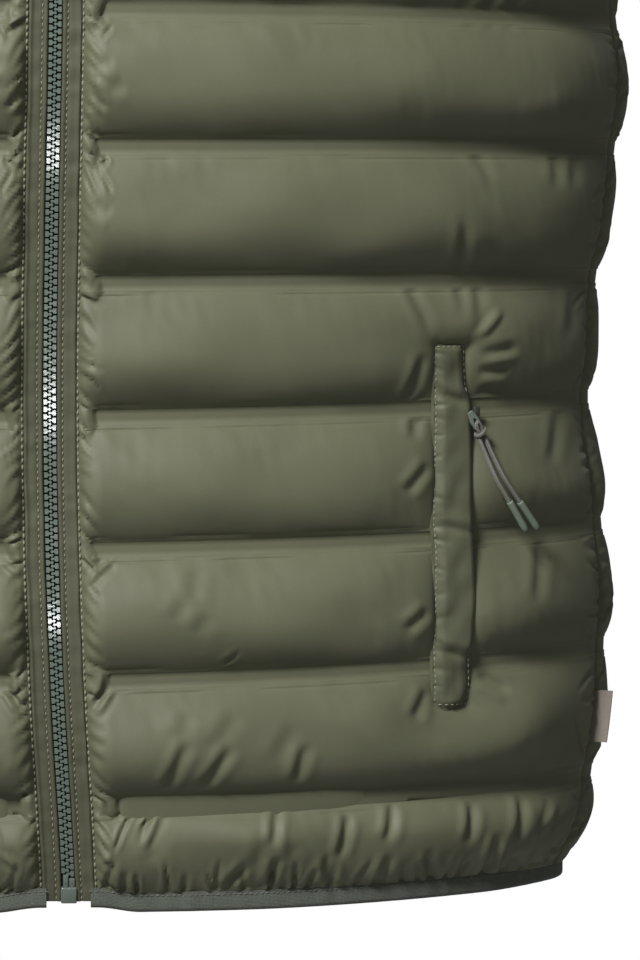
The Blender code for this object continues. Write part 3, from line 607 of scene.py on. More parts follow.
def placed(obj, body, nodes):
    """Lets a piece ride on its body and stand for its solids, which it hides."""
    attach(obj, body)
    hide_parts(*nodes)
    return obj


print("nodes to stand for:", len(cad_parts))

# %% [markdown]
# ## Pocket pulls
# Each pocket zip is drawn by a short doubled cord, knotted to a moulded tab and ended with two
# moulded tips. The strands hang limp and slant to the side, so each one is a round tube along
# a smooth route; the braid is a pattern on the tube's own map.

# %% Sizes of the pulls
CORD_RADIUS = 0.00105
TIP_RADIUS = 0.00155
TIP_LENGTH = 0.0160
TAB_LENGTH = 0.0076
KNOT_RADIUS = 0.0023
STRANDS = {
    "a": [(0.1786, 0.1982, 0.0084), (0.1808, 0.1907, 0.0098), (0.1843, 0.1799, 0.0118),
          (0.1891, 0.1711, 0.0122)],
    "b": [(0.1810, 0.1988, 0.0084), (0.1836, 0.1911, 0.0098), (0.1877, 0.1804, 0.0118),
          (0.1935, 0.1708, 0.0122)],
}
TIP_ENDS = {"a": (0.1977, 0.1572, 0.0112), "b": (0.2033, 0.1572, 0.0112)}
TAB_TOP = (0.1745, 0.2102, 0.0082)
TAB_END = (0.1791, 0.2011, 0.0084)
POCKET_SLIDER_AT = (0.1794, 0.2106, 0.0044)
POCKET_SLIDER = (0.0030, 0.0044, 0.0020)
POCKET_SLIDER_BEVEL = 0.0005
STRAND_POINTS = 40
INTO_KNOT = 0.0012
INTO_TIP = 0.0010
TIP_LAP = 0.0004
TIP_SIDES = 16
TipRing = namedtuple("TipRing", "along radius")
TIP_RINGS = [TipRing(0, 0.80), TipRing(0.02, 0.95), TipRing(0.06, 1.0), TipRing(0.30, 0.98),
             TipRing(0.80, 1.0), TipRing(0.93, 0.95), TipRing(0.98, 0.80), TipRing(1.0, 0.45)]
# Right half of the tab and of its slot, as (across, along), and the tab's rings from back to front.
TAB_HALF = [(0.0011, -0.0004), (0.0019, 0.0036), (0.0021, 0.0070), (0.0014, 0.0077)]
SLOT_HALF = [(0.0003, 0.0026), (0.0008, 0.0036), (0.0010, 0.0056), (0.0007, 0.0061)]
TAB_RINGS = [(-0.0007, 0.0), (-0.0005, 0.00015), (0.0005, 0.00015), (0.0007, 0.0)]
KNOT_ACROSS = 0.0024
KNOT_OUT = 0.0016
KNOT_SLANT = 0.0005
KNOT_CORD = 0.9
LOOP_BACK = 0.0022
LOOP_ACROSS = 0.0011
LOOP_ALONG = 0.0028
LOOP_OUT = 0.0011
LOOP_TILT = 0.0004
LOOP_OPEN = 0.35 * math.pi
LOOP_CORD = 0.8

# %% Tabs and knots of the pulls
def both_halves(half):
    """A closed outline from its right half."""
    return np.array(half + [(-x, y) for x, y in reversed(half)])


def tab_plate(name, top, axes, material):
    """A moulded tab: a tapered plate with a slot for the cord near its wide end."""
    across, along, normal = axes
    rings = []
    for level, grow in TAB_RINGS:
        for flat, sign in ((both_halves(TAB_HALF), 1.0), (both_halves(SLOT_HALF), -1.0)):
            flat = flat + unit(flat - flat.mean(axis=0)) * grow * sign
            rings.append(top + flat[:, :1] * across + flat[:, 1:] * along + level * normal)
    count = len(rings[0])
    faces = []
    for k in range(count):
        m = (k + 1) % count
        for low in (0, 2, 4):
            for ring in (low, low + 1):
                faces.append((ring * count + k, ring * count + m, (ring + 2) * count + m,
                              (ring + 2) * count + k))
        for low in (0, 6):
            faces.append((low * count + k, (low + 1) * count + k, (low + 1) * count + m, low * count + m))
    obj = outwards(piece(name, np.concatenate(rings), faces, material))
    obj.data.set_sharp_from_angle(angle=math.radians(MOULDED_SHARP))
    return obj


def tie_knot(prefix, body, centre, axes):
    """The cord's turn round its own strands, and its loop through the tab's slot."""
    across, along, normal = axes
    turn = np.linspace(0, 2 * math.pi, 29)[:, None]
    wrap = (centre + np.cos(turn) * across * KNOT_ACROSS + np.sin(turn) * normal * KNOT_OUT
            + np.sin(turn + 0.6) * along * KNOT_SLANT)
    turn = np.linspace(-LOOP_OPEN, math.pi + LOOP_OPEN, 25)[:, None]
    loop = (centre - along * LOOP_BACK + np.cos(turn) * across * LOOP_ACROSS
            - np.sin(turn) * along * LOOP_ALONG + (np.sin(turn) * LOOP_TILT + LOOP_OUT) * normal)
    for name, route, thick in (("wrap", wrap, KNOT_CORD), ("loop", loop, LOOP_CORD)):
        knot = tube(f"{prefix}_knot_{name}", route, np.full(len(route), CORD_RADIUS * thick), CORD)
        placed(knot, body, [prefix + "_pull_knot"])


print("outline of a tab:", len(both_halves(TAB_HALF)), "points")

# %% Cords and tips of the pulls
def hang_strand(prefix, side, body, letter):
    """One strand of the doubled cord, with the moulded tip on its free end."""
    points = [on_front(side, *place)[0] for place in STRANDS[letter]]
    points[0] = points[0] + unit(points[0] - points[1]) * INTO_KNOT
    tip_end, _ = on_front(side, *TIP_ENDS[letter])
    points[-1] = points[-1] + unit(tip_end - points[-1]) * INTO_TIP
    route = smooth_route(points, STRAND_POINTS)
    strand = tube(f"{prefix}_strand_{letter}", route, np.full(len(route), CORD_RADIUS), CORD)
    placed(strand, body, [f"{prefix}_pull_cord_{letter}"])
    start = points[-1] - unit(tip_end - points[-1]) * TIP_LAP
    rings = np.array(TIP_RINGS)
    tip_route = start + unit(tip_end - start) * (rings[:, :1] * TIP_LENGTH)
    tip = tube(f"{prefix}_tip_{letter}_moulded", tip_route, TIP_RADIUS * rings[:, 1], PULL_PLASTIC, TIP_SIDES)
    placed(tip, body, [f"{prefix}_pull_tip_{letter}"])
    print(strand.name, "runs", round(float(run_of(route)[-1]) * 1000, 1), "mm")


def build_pull(prefix, side):
    """Tab, knot, two strands and their tips of one pocket pull, and the slider behind it."""
    body = f"pocket_pull_{SIDES[side]}"
    top, normal = on_front(side, *TAB_TOP)
    end, _ = on_front(side, *TAB_END)
    along = unit(end - top)
    normal = unit(normal - along * np.dot(normal, along))
    axes = [np.cross(along, normal), along, normal]
    tab = tab_plate(prefix + "_tab_moulded", top, axes, PULL_PLASTIC)
    placed(tab, body, [prefix + "_pull_tab"])
    tie_knot(prefix, body, top + along * (TAB_LENGTH + KNOT_RADIUS), axes)
    for letter in STRANDS:
        hang_strand(prefix, side, body, letter)
    slider, _ = on_front(side, *POCKET_SLIDER_AT)
    level = unit(np.cross(normal, (0.0, 0.0, 1.0)))
    # The slider takes the near-black plastic, so it shows as painted shade in the zip opening.
    hidden = bevelled(prefix + "_slider_moulded", slider, [level, np.cross(normal, level), normal],
                      POCKET_SLIDER, POCKET_SLIDER_BEVEL, SLIDER_SHADE_PLASTIC)
    placed(hidden, "garment", [prefix + "_zip_slider"])


build_pull("pocket_left", 1)
build_pull("pocket_right", -1)

# %% [markdown]
# ## How the quilting settles
# Each channel starts as a rounded cushion between two sewn lines. Its cloth is cut a little
# longer than the cushion: most beside the zip and the hem, where sewing gathers it. A small
# cloth solver then lets the points settle: it keeps every thread's length and holds the sewn
# rows. The extra length has to buckle, and that makes the puckers.
# The rest lengths differ along and across the thread, which is why the solver is written here.

# %% Cloth solver
ROUNDS = 22
PASSES = 2
THREAD_PULL = 0.9
SLANT_PULL = 0.45
BEND_PULL = 0.30
LEAST_LIFT = 0.0004


def pull(a, b, rest, weight_a, weight_b, strength):
    """Moves two sets of points along the lines between them, towards their rest distance."""
    gap = b - a
    length = np.sqrt(np.einsum("...k,...k", gap, gap)) + 1e-12
    share = strength * (length - rest) / (length * (weight_a + weight_b + 1e-9))
    move = gap * share[..., None]
    a += move * weight_a[..., None]
    b -= move * weight_b[..., None]


def distance(a, b):
    """Distances between two sets of points."""
    return np.linalg.norm(b - a, axis=-1)


def settle(start, base, normal, held, more_across, more_up):
    """Cloth grid that has settled: threads keep their rest length and sewn points stay put."""
    p = start.astype(np.float32)
    weight = np.where(held, 0.0, 1.0).astype(np.float32)
    mean_across = (more_across[:, 1:] + more_across[:, :-1]) / 2
    mean_up = (more_up[1:] + more_up[:-1]) / 2
    level = (distance(p[:, :-1], p[:, 1:]) * (1 + mean_across)).astype(np.float32)
    rise = (distance(p[:-1], p[1:]) * (1 + mean_up)).astype(np.float32)
    both = 1 + (mean_across[1:] + mean_across[:-1] + mean_up[:, 1:] + mean_up[:, :-1]) / 4
    slant = (distance(p[:-1, :-1], p[1:, 1:]) * both).astype(np.float32)
    other = (distance(p[:-1, 1:], p[1:, :-1]) * both).astype(np.float32)
    two_across = (distance(p[:, :-2], p[:, 2:]) * (1 + more_across[:, 1:-1])).astype(np.float32)
    two_up = (distance(p[:-2], p[2:]) * (1 + more_up[1:-1])).astype(np.float32)

    def draw(first, second, rest, strength):
        pull(p[first], p[second], rest, weight[first], weight[second], strength)

    for _ in range(ROUNDS):
        for _ in range(PASSES):
            for k in (0, 1):
                one, next_one = slice(k, -1, 2), slice(k + 1, None, 2)
                draw(np.s_[:, one], np.s_[:, next_one], level[:, k::2], THREAD_PULL)
                draw(np.s_[one], np.s_[next_one], rise[k::2], THREAD_PULL)
                draw(np.s_[:-1, one], np.s_[1:, next_one], slant[:, k::2], SLANT_PULL)
                draw(np.s_[:-1, next_one], np.s_[1:, one], other[:, k::2], SLANT_PULL)
            for k in range(4):
                one, second = slice(k, -2, 4), slice(k + 2, None, 4)
                draw(np.s_[:, one], np.s_[:, second], two_across[:, k::4], BEND_PULL)
                draw(np.s_[one], np.s_[second], two_up[k::4], BEND_PULL)
        low = np.einsum("...k,...k", p - base, normal)
        lift = np.maximum(LEAST_LIFT - low, 0) * weight
        p += (normal * lift[..., None]).astype(np.float32)
    return p.astype(float)


print("solver rounds:", ROUNDS)

# %% Uneven fields and creases
CREASE_REACH = 3.5
CREASE_END = 0.3
CREASE_FADE = 0.7


def wander(seed, u, v, size, count=18):
    """A smooth uneven field with features of about one size, from -1 to 1."""
    random = np.random.default_rng(seed)
    total = np.zeros_like(u)
    for _ in range(count):
        turn = random.uniform(0, 2 * math.pi)
        pitch = random.uniform(0.7, 1.4) / size
        phase = random.uniform(0, 2 * math.pi)
        total += np.cos(2 * math.pi * pitch * (u * math.cos(turn) + v * math.sin(turn)) + phase)
    return total / math.sqrt(count)


def waver(seed, along, size):
    """The same uneven field along a line."""
    return wander(seed, along, 0 * along, size)


def rounded(distance_in, radius):
    """Share of full height at a distance in from a sewn edge, on a quarter round."""
    return np.sqrt(1 - (1 - np.clip(distance_in / radius, 0, 1)) ** 2)


Crease = namedtuple("Crease", "points width depth fading")


def creased(u, v, creases):
    """Height given to the cloth by troughs along short lines (or ridges, if depth is below zero)."""
    total = np.zeros_like(u)
    for crease in creases:
        points = np.array(crease.points).reshape(-1, 2)
        margin = CREASE_REACH * crease.width
        low, high = points.min(axis=0) - margin, points.max(axis=0) + margin
        near = (u > low[0]) & (u < high[0]) & (v > low[1]) & (v < high[1])
        at = np.stack([u[near], v[near]], axis=-1)
        gap, turn, place = np.full(len(at), 1.0), np.zeros(len(at)), np.zeros(len(at))
        done = 0.0
        for a, b in zip(points[:-1], points[1:]):
            step = math.dist(a, b)
            along = (b - a) / step
            t = np.clip((at - a) @ along, 0, step)
            off = at - a - t[:, None] * along
            closer = np.hypot(*off.T) < gap
            gap = np.where(closer, np.hypot(*off.T), gap)
            turn = np.where(closer, np.sign(off[:, 0] * along[1] - off[:, 1] * along[0]), turn)
            place = np.where(closer, done + t, place)
            done += step
        share = place / done
        ends = smooth(np.minimum(share, 1 - share) / CREASE_END)
        if crease.fading:
            ends = (1 - share) ** CREASE_FADE
        off = gap * turn / crease.width
        trough = np.exp(-off ** 2) - 0.60 * np.exp(-(off - 1.8) ** 2) - 0.35 * np.exp(-(off + 1.9) ** 2)
        total[near] -= crease.depth * trough * ends
    return total


print("creases end", CREASE_REACH, "widths away")

# %% [markdown]
# ## Rows and columns of the cloth
# A row follows each quilting line, with fine rows between, so the flat sewn bands stay exactly
# where the solids have them. Columns are closer together beside the zip and the side seam.

# %% Rows and columns
Row = namedtuple("Row", "heights up channel top band width")
ROW_STEP = 0.0015
HIGH_STEP = 0.0060
FOOT_EDGE = np.array([0.0, 0.25, 0.7, 1.3, 1.8, 2.2, 2.6, 3.2]) / 1000
TOP_EDGE = np.array([0.0, 0.3, 0.8, 1.4, 1.9, 2.3, 2.6, 2.9, 3.4, 4.2]) / 1000
BAND_STEPS = 3
EDGE_FLAT = 0.0014
IN_FRAME = 7


def channel_shares(width, fine):
    """Places of the rows in a channel, closest beside its sewn lines."""
    foot, top = (FOOT_EDGE, TOP_EDGE) if fine else (FOOT_EDGE[::3], TOP_EDGE[::3])
    count = round((width - foot[-1] - top[-1]) / (ROW_STEP if fine else HIGH_STEP))
    middle = np.linspace(foot[-1], width - top[-1], max(count, 1) + 1)[1:-1]
    return np.concatenate([foot, middle, width - top[::-1]]) / width


def fine_rows():
    """Rows from the hem to the shoulder; up runs from 0 to 1 in a channel."""
    rows = []
    last = len(QUILT_LINES) - 2
    for i in range(last + 1):
        low = QUILT_LINES[i] + (BAND / 2 if i else 0)
        high = QUILT_LINES[i + 1] - (BAND / 2 if i < last else 0)
        width = high[0] - low[0]
        for t in channel_shares(width, i < IN_FRAME):
            rows.append(Row(low + (high - low) * t, t, i, t if i == last else 0.0, t in (0.0, 1.0), width))
        if i < last:
            for t in np.linspace(0, 1, BAND_STEPS + 1)[1:-1]:
                rows.append(Row(high + BAND * t, 0.0, i, 0.0, True, width))
    return rows


ROWS = fine_rows()
UP = np.array([row.up for row in ROWS])
CHANNEL = np.array([row.channel for row in ROWS])
BANDED = np.array([row.band for row in ROWS])
WIDTH = np.array([row.width for row in ROWS])
INSIDE = [k for k in range(1, len(ROWS) - 1) if UP[k] == 1.0 or (CHANNEL[k] >= IN_FRAME and k % 8 == 0)]
INSIDE = [0, *INSIDE, len(ROWS) - 1]

print("channels:", int(CHANNEL.max()) + 1)

# %% Columns and bases
def spread(spans):
    """Column shares from 0 to 1 through (length, spacing) spans, in metres."""
    steps = np.concatenate([np.full(max(1, round(length / step)), step) for length, step in spans])
    places = np.concatenate([[0.0], np.cumsum(steps)])
    return places / places[-1]


FRONT_COLUMNS = spread([(0.030, 0.0008), (0.190, 0.0014), (0.030, 0.0011)])
BACK_COLUMNS = spread([(0.240, 0.0040), (0.030, 0.0024), (0.030, 0.0013)])
CROWN = 0.42
HEM_CROWN = 0.62
LOBE_CROWN = 0.24
HEM_DROP = 0.0010
HEM_SAG = 0.0022


def cushion(t, crown):
    """Height of a channel across its own width, fullest at its crown."""
    foot = 1 - np.clip(1 - t / crown, 0, 1) ** 2.1
    slope = 1 - np.clip((t - crown) / (1 - crown), 0, 1) ** 1.9
    return np.where(t < crown, foot, slope)


def front_row(row):
    """Dense points of a left front's row, from the zip or neckline outwards."""
    s = np.linspace(0, 1, DENSE)
    front, side, _ = row.heights
    level = front + (side - front) * s
    start = float(angle_at(inner_edge(front), front))
    angle = start + (outer_angle(side, "front") - start) * s
    x = eased(SECTIONS, "half_width", level) * np.sin(angle) ** (2 / WIDTH_POWER)
    level = level + (shoulder_height(x) - level) * row.top
    return torso(level, angle)


def back_row(row):
    """Dense points of half a back's row, from the centre back to the left side."""
    s = np.linspace(0, 1, DENSE)
    _, side, back = row.heights
    level = back + (side - back) * s
    angle = np.clip(math.pi + (outer_angle(side, "back") - math.pi) * s, 0, math.pi)
    x = eased(SECTIONS, "half_width", level) * np.sin(angle) ** (2 / WIDTH_POWER)
    neck = LENGTH - BACK_NECK_DROP * (1 - (x / NECK_HALF_WIDTH) ** 2)
    ceiling = np.where(x < NECK_HALF_WIDTH, neck, shoulder_height(x))
    level = level + (ceiling - level) * row.top
    return torso(level, angle)


def hem_sag(x):
    """How far a front's hem hangs below the foot of the zip."""
    return HEM_DROP + HEM_SAG * smooth((x - 0.012) / 0.020) * (1 - smooth((x - 0.070) / 0.150))


def front_base(side):
    """Sewn-line grid of a front, left (+1) or right (-1), and its outer side's normals."""
    grid = np.stack([resampled(front_row(row), FRONT_COLUMNS) for row in ROWS])
    low = np.where(CHANNEL == 0, (1 - UP) ** 2, 0.0)[:, None] * smooth((1 - FRONT_COLUMNS) / 0.2)
    grid[..., 2] -= hem_sag(grid[..., 0]) * low
    grid[..., 0] = side * grid[..., 0] + sway(grid[..., 2] + LENGTH) * (1 - FRONT_COLUMNS) ** 2
    return grid, grid_normals(grid, side)


def back_base():
    """Sewn-line grid of the back, from the left side seam to the right one."""
    half = np.stack([resampled(back_row(row), BACK_COLUMNS) for row in ROWS])
    grid = np.concatenate([half[:, ::-1], half[:, 1:] * np.array([-1.0, 1.0, 1.0])], axis=1)
    return grid, grid_normals(grid)


print("rows:", len(ROWS), "front columns:", len(FRONT_COLUMNS), "back columns:", 2 * len(BACK_COLUMNS) - 1)

# %% [markdown]
# ## Fronts and back
# The main creases are placed one by one, then the solver settles the cloth round them. The places
# are given in millimetres right of the zip and up from the hem, as seen from the camera. The
# pocket is stitched flat, so the cloth under its welt is held as well.

# %% Placed creases
# Each list: width and depth in millimetres, then lines of (right, up) places.
Fold = namedtuple("Fold", "width depth lines")
FOLDS = [
    Fold(0.6, 0.35, [
        (25.5, 375, 39.6, 373.6), (53.6, 373.6, 76, 372.3), (48.5, 149, 65.5, 150, 76, 151),
        (23.8, 94, 25.5, 92.3, 32.8, 94, 53.6, 95.3, 76, 96.2)]),
    Fold(0.9, 1.3, [
        (21.4, 387, 20.4, 376), (24.3, 375, 18.5, 370), (13, 355.5, 17.4, 351.3), (11.9, 342.6, 15.6, 340),
        (11.9, 331.5, 15.3, 331.1, 18.5, 326.8), (14.5, 329.4, 20.4, 320.9, 21.1, 317.9, 17.2, 315.1),
        (11.9, 319, 17.2, 310.6), (11.4, 312, 15.3, 303.4), (17.9, 314.5, 23.8, 304.7),
        (23, 154.5, 21.3, 148), (13.2, 137.4, 17.9, 133.2), (76, 110, 69.4, 104),
        (32.2, 42, 27, 34.2, 23.4, 25.7), (43.3, 43.4, 34, 33.6), (44.6, 22.6, 47.8, 6.8),
        (17.9, 14, 26.4, 6.2), (63, 16.6, 66, 6.8)]),
    Fold(1.9, 1.7, [
        (94.8, 44.7, 91.5, 37.4, 89.8, 27.7), (91.5, 23.8, 89.4, 9.4), (79.8, 20.4, 70, 8),
        (112, 25, 116, 7.2), (123, 42, 118, 22), (143, 46, 137, 29), (139, 25, 136, 6.8),
        (154, 27, 160, 8.1), (176, 46, 171, 29), (172, 25, 169, 8.9),
        (184, 34, 181, 12.3), (197, 49, 191, 29), (193, 25, 189, 12.3),
        (204, 40, 200, 17.4)]),
    Fold(1.4, 1.6, [(12.8, 349, 21.3, 339.6), (21.1, 101.7, 20.4, 92.8, 14.5, 84.7)]),
    Fold(2.3, 1.4, [
        (154, 238, 148, 214), (156, 222, 150, 198), (157, 190, 145, 176), (157, 128, 145, 118),
        (158, 94, 149, 80), (176, 236, 192, 240), (176, 229, 190, 230), (177, 221, 192, 218),
        (178, 100, 191, 92), (55, 74, 44.7, 50), (74, 72, 60, 51), (104, 72, 100, 53.7)]),
    Fold(2.4, 1.0, [
        (169, 412, 173, 387, 176, 371), (182, 404, 184, 385, 185, 371), (197, 408, 193, 383, 191, 370),
        (173, 328, 184, 310),
        (146, 275, 158, 243), (180, 277, 176, 246), (168, 300, 172, 250), (213, 327, 208, 306),
        (223, 331, 215, 306), (214, 217, 206, 187), (207, 161, 198, 128), (220, 268, 214, 242)]),
    Fold(3.2, 0.5, [
        (14, 358, 25, 361), (21.3, 348.5, 29.4, 351.5), (14, 300, 23.8, 297.4), (53.6, 132, 48.5, 122),
        (58.9, 146, 56.2, 130), (64.3, 126, 57.4, 117), (77, 85.5, 63.4, 67.4), (100.6, 80.4, 89.6, 61.7),
        (56, 85, 50.4, 72.8), (42, 33.6, 39.4, 20.4), (88, 36.8, 81.7, 15.3), (99, 30, 98, 21.7)]),
    Fold(1.5, -1.1, [
        (13.2, 379, 17.9, 375.7, 21.3, 375.3), (13.2, 145.5, 17.9, 144.7, 23.8, 149.4),
        (10.6, 140, 14.5, 141, 17.9, 144.3), (23, 94.5, 21.3, 91.5, 15.3, 83), (43.8, 42, 35.3, 27.2),
        (17.2, 20, 23, 25.7), (186, 257, 175, 243), (211, 48, 197, 25), (214, 20, 196, 14)]),
]
BACK_FOLDS = [
    Fold(4.5, 1.7, [
        (12, 42, 17, 12), (48, 45, 40, 20), (84, 40, 92, 10), (118, 46, 108, 22), (152, 42, 159, 12),
        (184, 45, 175, 20), (-30, 44, -24, 12), (-62, 38, -70, 10), (-97, 46, -91, 20), (-129, 42, -138, 14),
        (-166, 45, -160, 12), (-196, 42, -188, 18)]),
    Fold(5.5, 1.1, [
        (32, 101, 22, 68), (-76, 98, -66, 60), (112, 100, 120, 74), (-141, 103, -132, 78), (64, 156, 55, 126),
        (-40, 154, -49, 128), (168, 155, 160, 130), (150, 212, 141, 182), (-110, 211, -119, 180),
        (20, 266, 11, 238), (-162, 266, -153, 242), (92, 322, 101, 296), (-58, 323, -66, 298),
        (-120, 379, -128, 352), (44, 380, 36, 350), (128, 437, 120, 408), (-24, 436, -16, 404),
        (70, 492, 78, 462), (-86, 490, -78, 462)]),
]


def creases_of(folds):
    """Creases in metres from rows of folds in millimetres."""
    return [Crease([value / 1000 for value in line], fold.width / 1000, fold.depth / 1000, False)
            for fold in folds for line in fold.lines]


FRONT_CREASES = creases_of(FOLDS)
BACK_CREASES = creases_of(BACK_FOLDS)

print("creases on a front:", len(FRONT_CREASES), "on the back:", len(BACK_CREASES))

# %% Lobes and puckers at the edges
def edge_lobes(seed, run, height):
    """Small overlapping lobes that sewing gathers beside the zip, each dark below and lit above."""
    random = np.random.default_rng(seed)
    bounds = np.cumsum(random.uniform(0.0045, 0.0085, 140)) - 0.03
    reach = random.uniform(0.0050, 0.0130, len(bounds))
    tall = random.uniform(0.0018, 0.0036, len(bounds))
    slant = 1.0 + 0.5 * waver(seed, height, 0.03)
    level = height + slant * run - 10.0 * run ** 2
    i = np.clip(np.searchsorted(bounds, level) - 1, 0, len(bounds) - 2)
    q = np.clip((level - bounds[i]) / (bounds[i + 1] - bounds[i]), 0, 1)
    fade = smooth(run / 0.0025) * (1 - smooth((run / reach[i] - 0.3) / 0.7))
    return tall[i] * fade * (cushion(q, LOBE_CROWN) - 0.6)


Gather = namedtuple("Gather", "low high spacing reaches slopes")
SIDE_GATHER = Gather(0.01, 0.40, (0.005, 0.011), (0.007, 0.022), (-1.0, 0.6))
HEM_GATHER = Gather(0.02, 0.24, (0.006, 0.014), (0.006, 0.017), (-0.5, 0.5))
PUCKER_START = -0.001
PUCKER_WIDTHS = (0.0010, 0.0015)
PUCKER_DEPTHS = (0.0013, 0.0027)


def edge_puckers(seed, gather):
    """Short puckers that fade out as they slant in from a sewn edge, as (distance in, along)."""
    random = np.random.default_rng(seed)
    puckers = []
    along = gather.low
    while along < gather.high:
        reach = random.uniform(*gather.reaches)
        drop = reach * random.uniform(*gather.slopes)
        middle = PUCKER_START + 0.55 * reach, along - 0.35 * drop
        puckers.append(Crease([PUCKER_START, along, *middle, PUCKER_START + reach, along - drop],
                              random.uniform(*PUCKER_WIDTHS), random.uniform(*PUCKER_DEPTHS), True))
        along += random.uniform(*gather.spacing)
    return puckers


print("depths of the puckers:", PUCKER_DEPTHS)

# %% Heights of the padding
def seen(points):
    """Where the camera sees points on the plane of the zip: right of the zip, up from the hem."""
    scale = (FRONT_PLANE - EYE.y) / (points[..., 1] - EYE.y)
    return points[..., 0] * scale, (points[..., 2] - EYE.z) * scale + EYE.z + LENGTH


def run_along(grid):
    """Distance of each grid point from its row's first point."""
    steps = distance(grid[:, :-1], grid[:, 1:])
    return np.concatenate([np.zeros((len(grid), 1)), np.cumsum(steps, axis=1)], axis=1)


SIDE_FULLNESS = 0.30
SIDE_LIFT = 0.0016
SIDE_FADE = 0.060
ZIP_GATHER = 0.0065
TUCK = 0.0020
SEAM_LAP = 0.0003
ZIP_ROUND = 0.010
SIDE_ROUND = 0.009
POCKET_ROUND = 0.0120
POCKET_FULL = 0.62
POCKET_FADE = 0.030
UNDER_WELT = 0.0012
HELD_SIDE = 0.0008
ON_EDGE = 1e-9
FREE_SHARE = 0.05


def side_fade(distance_in):
    """Share of the padding left near a side seam, where the channels are drawn flat."""
    return SIDE_FULLNESS + (1 - SIDE_FULLNESS) * smooth(distance_in / SIDE_FADE)


def side_lift(distance_in):
    """Height of all rows beside a side seam, where the seam itself draws the cloth in."""
    return SIDE_LIFT * np.exp(-(distance_in / 0.030) ** 2) * rounded(distance_in, 0.007)


def padded_height(seed, run, height, gathered):
    """Height of the channels: cushions of uneven fill, with a fine crease along parts of each line."""
    fill = np.where(CHANNEL == 0, HEM_PUFF, PUFF)[:, None] * (1 + 0.12 * wander(seed, run, height, 0.055))
    crown = np.where(CHANNEL == 0, HEM_CROWN, CROWN)
    share = np.maximum(cushion(UP, crown)[:, None], 0.36 * gathered)
    beside = CHANNEL[:, None] * 0.37 + 0 * run
    lip = smooth(0.7 + wander(seed + 1, run, beside, 0.060)) * (1 - gathered)
    foot = smooth(0.1 + wander(seed + 2, run, beside, 0.060)) * (1 - gathered)
    below_line = ((1 - UP) * WIDTH)[:, None]
    above_line = (UP * WIDTH)[:, None]
    fine = 0.00036 * lip * np.exp(-((below_line - 0.0026) / 0.00045) ** 2)
    fine += 0.00030 * foot * np.exp(-((above_line - 0.0022) / 0.00050) ** 2)
    return fill * share - np.where(BANDED[:, None], 0.0, fine)


def faint_folds(seed, run, height):
    """Slight wrinkles, mostly upright, that come and go over the cloth."""
    patch = 0.3 + 0.7 * smooth(wander(seed, run, height, 0.060))
    return patch * (0.00020 * wander(seed + 1, run + 0.4 * height, height * 0.6, 0.018)
                    + 0.00007 * wander(seed + 2, run + 0.4 * height, height * 0.7, 0.008))


def free_rows():
    """How free each row is to fold: not at all at the sewn lines."""
    return np.clip(np.minimum(UP, 1 - UP) / FREE_SHARE, 0, 1)[:, None]


print("rows free to fold:", int(np.sum(free_rows() > 0)))

# %% Settled panels
def sewn_panel(name, node, base, normal, outer, facing):
    """A panel's padded wall, ended just past the plane of its side seams; a front faces -1."""
    inner = base - normal * WALL
    for layer in (outer, inner):
        layer[..., 1] = facing * np.maximum(facing * layer[..., 1], -SEAM_LAP)
    obj = wall(name, outer, inner, INSIDE, NYLON)
    placed(obj, "garment", [node])
    print(name, "points", len(obj.data.vertices))
    return base, normal, outer


def outside(value, low, high):
    """How far a value lies outside a range that is tucked in at both ends."""
    return np.maximum(np.maximum(low + TUCK - value, value - high + TUCK), 0)


def front_panel(name, side, seed):
    """A quilted front: cushions, placed creases, then settled cloth over a plain inside."""
    base, normal = front_base(side)
    run = run_along(base)
    left_over = run[:, -1:] - run
    across = side * base[..., 0]
    height = base[..., 2] + LENGTH
    beside = np.hypot(outside(across, WELT_LEFT, WELT_RIGHT), outside(height, WELT_BOTTOM, WELT_TOP))
    full = rounded(run - EDGE_FLAT, ZIP_ROUND) * rounded(left_over - EDGE_FLAT, SIDE_ROUND)
    full *= side_fade(left_over)
    full *= rounded(beside, POCKET_ROUND) * (POCKET_FULL + (1 - POCKET_FULL) * smooth(beside / POCKET_FADE))
    gathered = 1 - smooth((run - 0.0045 - 0.0025 * waver(seed + 5, height, 0.03)) / ZIP_GATHER)
    gathered *= smooth((height - QUILT_LINES[0][0] - 0.004) / 0.012)
    u, v = seen(base)
    folds = creased(side * u, v, FRONT_CREASES) + faint_folds(seed + 8, run, height)
    folds += edge_lobes(seed + 1, run, height)
    folds += creased(left_over, height, edge_puckers(seed + 2, SIDE_GATHER))
    folds += creased(height - QUILT_LINES[0][0], across, edge_puckers(seed + 6, HEM_GATHER))
    free = np.maximum(free_rows(), gathered) * np.sqrt(full)
    lifted = np.maximum(padded_height(seed, run, height, gathered) * full + folds * free, LEAST_LIFT)
    under_welt = beside <= 0
    sewn = (BANDED[:, None] & (gathered < 0.3)) | (run < ON_EDGE) | (left_over < ON_EDGE)
    sewn[0] = True
    lifted = np.where(sewn, 0.0, np.where(under_welt, UNDER_WELT, lifted))
    start = base + normal * (lifted + side_lift(left_over))[..., None]
    held = sewn | (run < EDGE_FLAT) | (left_over < HELD_SIDE) | under_welt
    near_zip = np.exp(-run / 0.012)
    near_side = np.exp(-left_over / 0.014)
    near_pocket = np.exp(-beside / 0.014)
    hem = (CHANNEL == 0)[:, None]
    more_across = 0.001 + 0.010 * hem + 0.006 * near_pocket
    more_up = 0.001 + 0.020 * near_zip + 0.020 * near_side + 0.010 * near_pocket
    outer = settle(start, base, normal, held, more_across, more_up)
    return sewn_panel(name, f"front_{SIDES[side]}", base, normal, outer, -1)


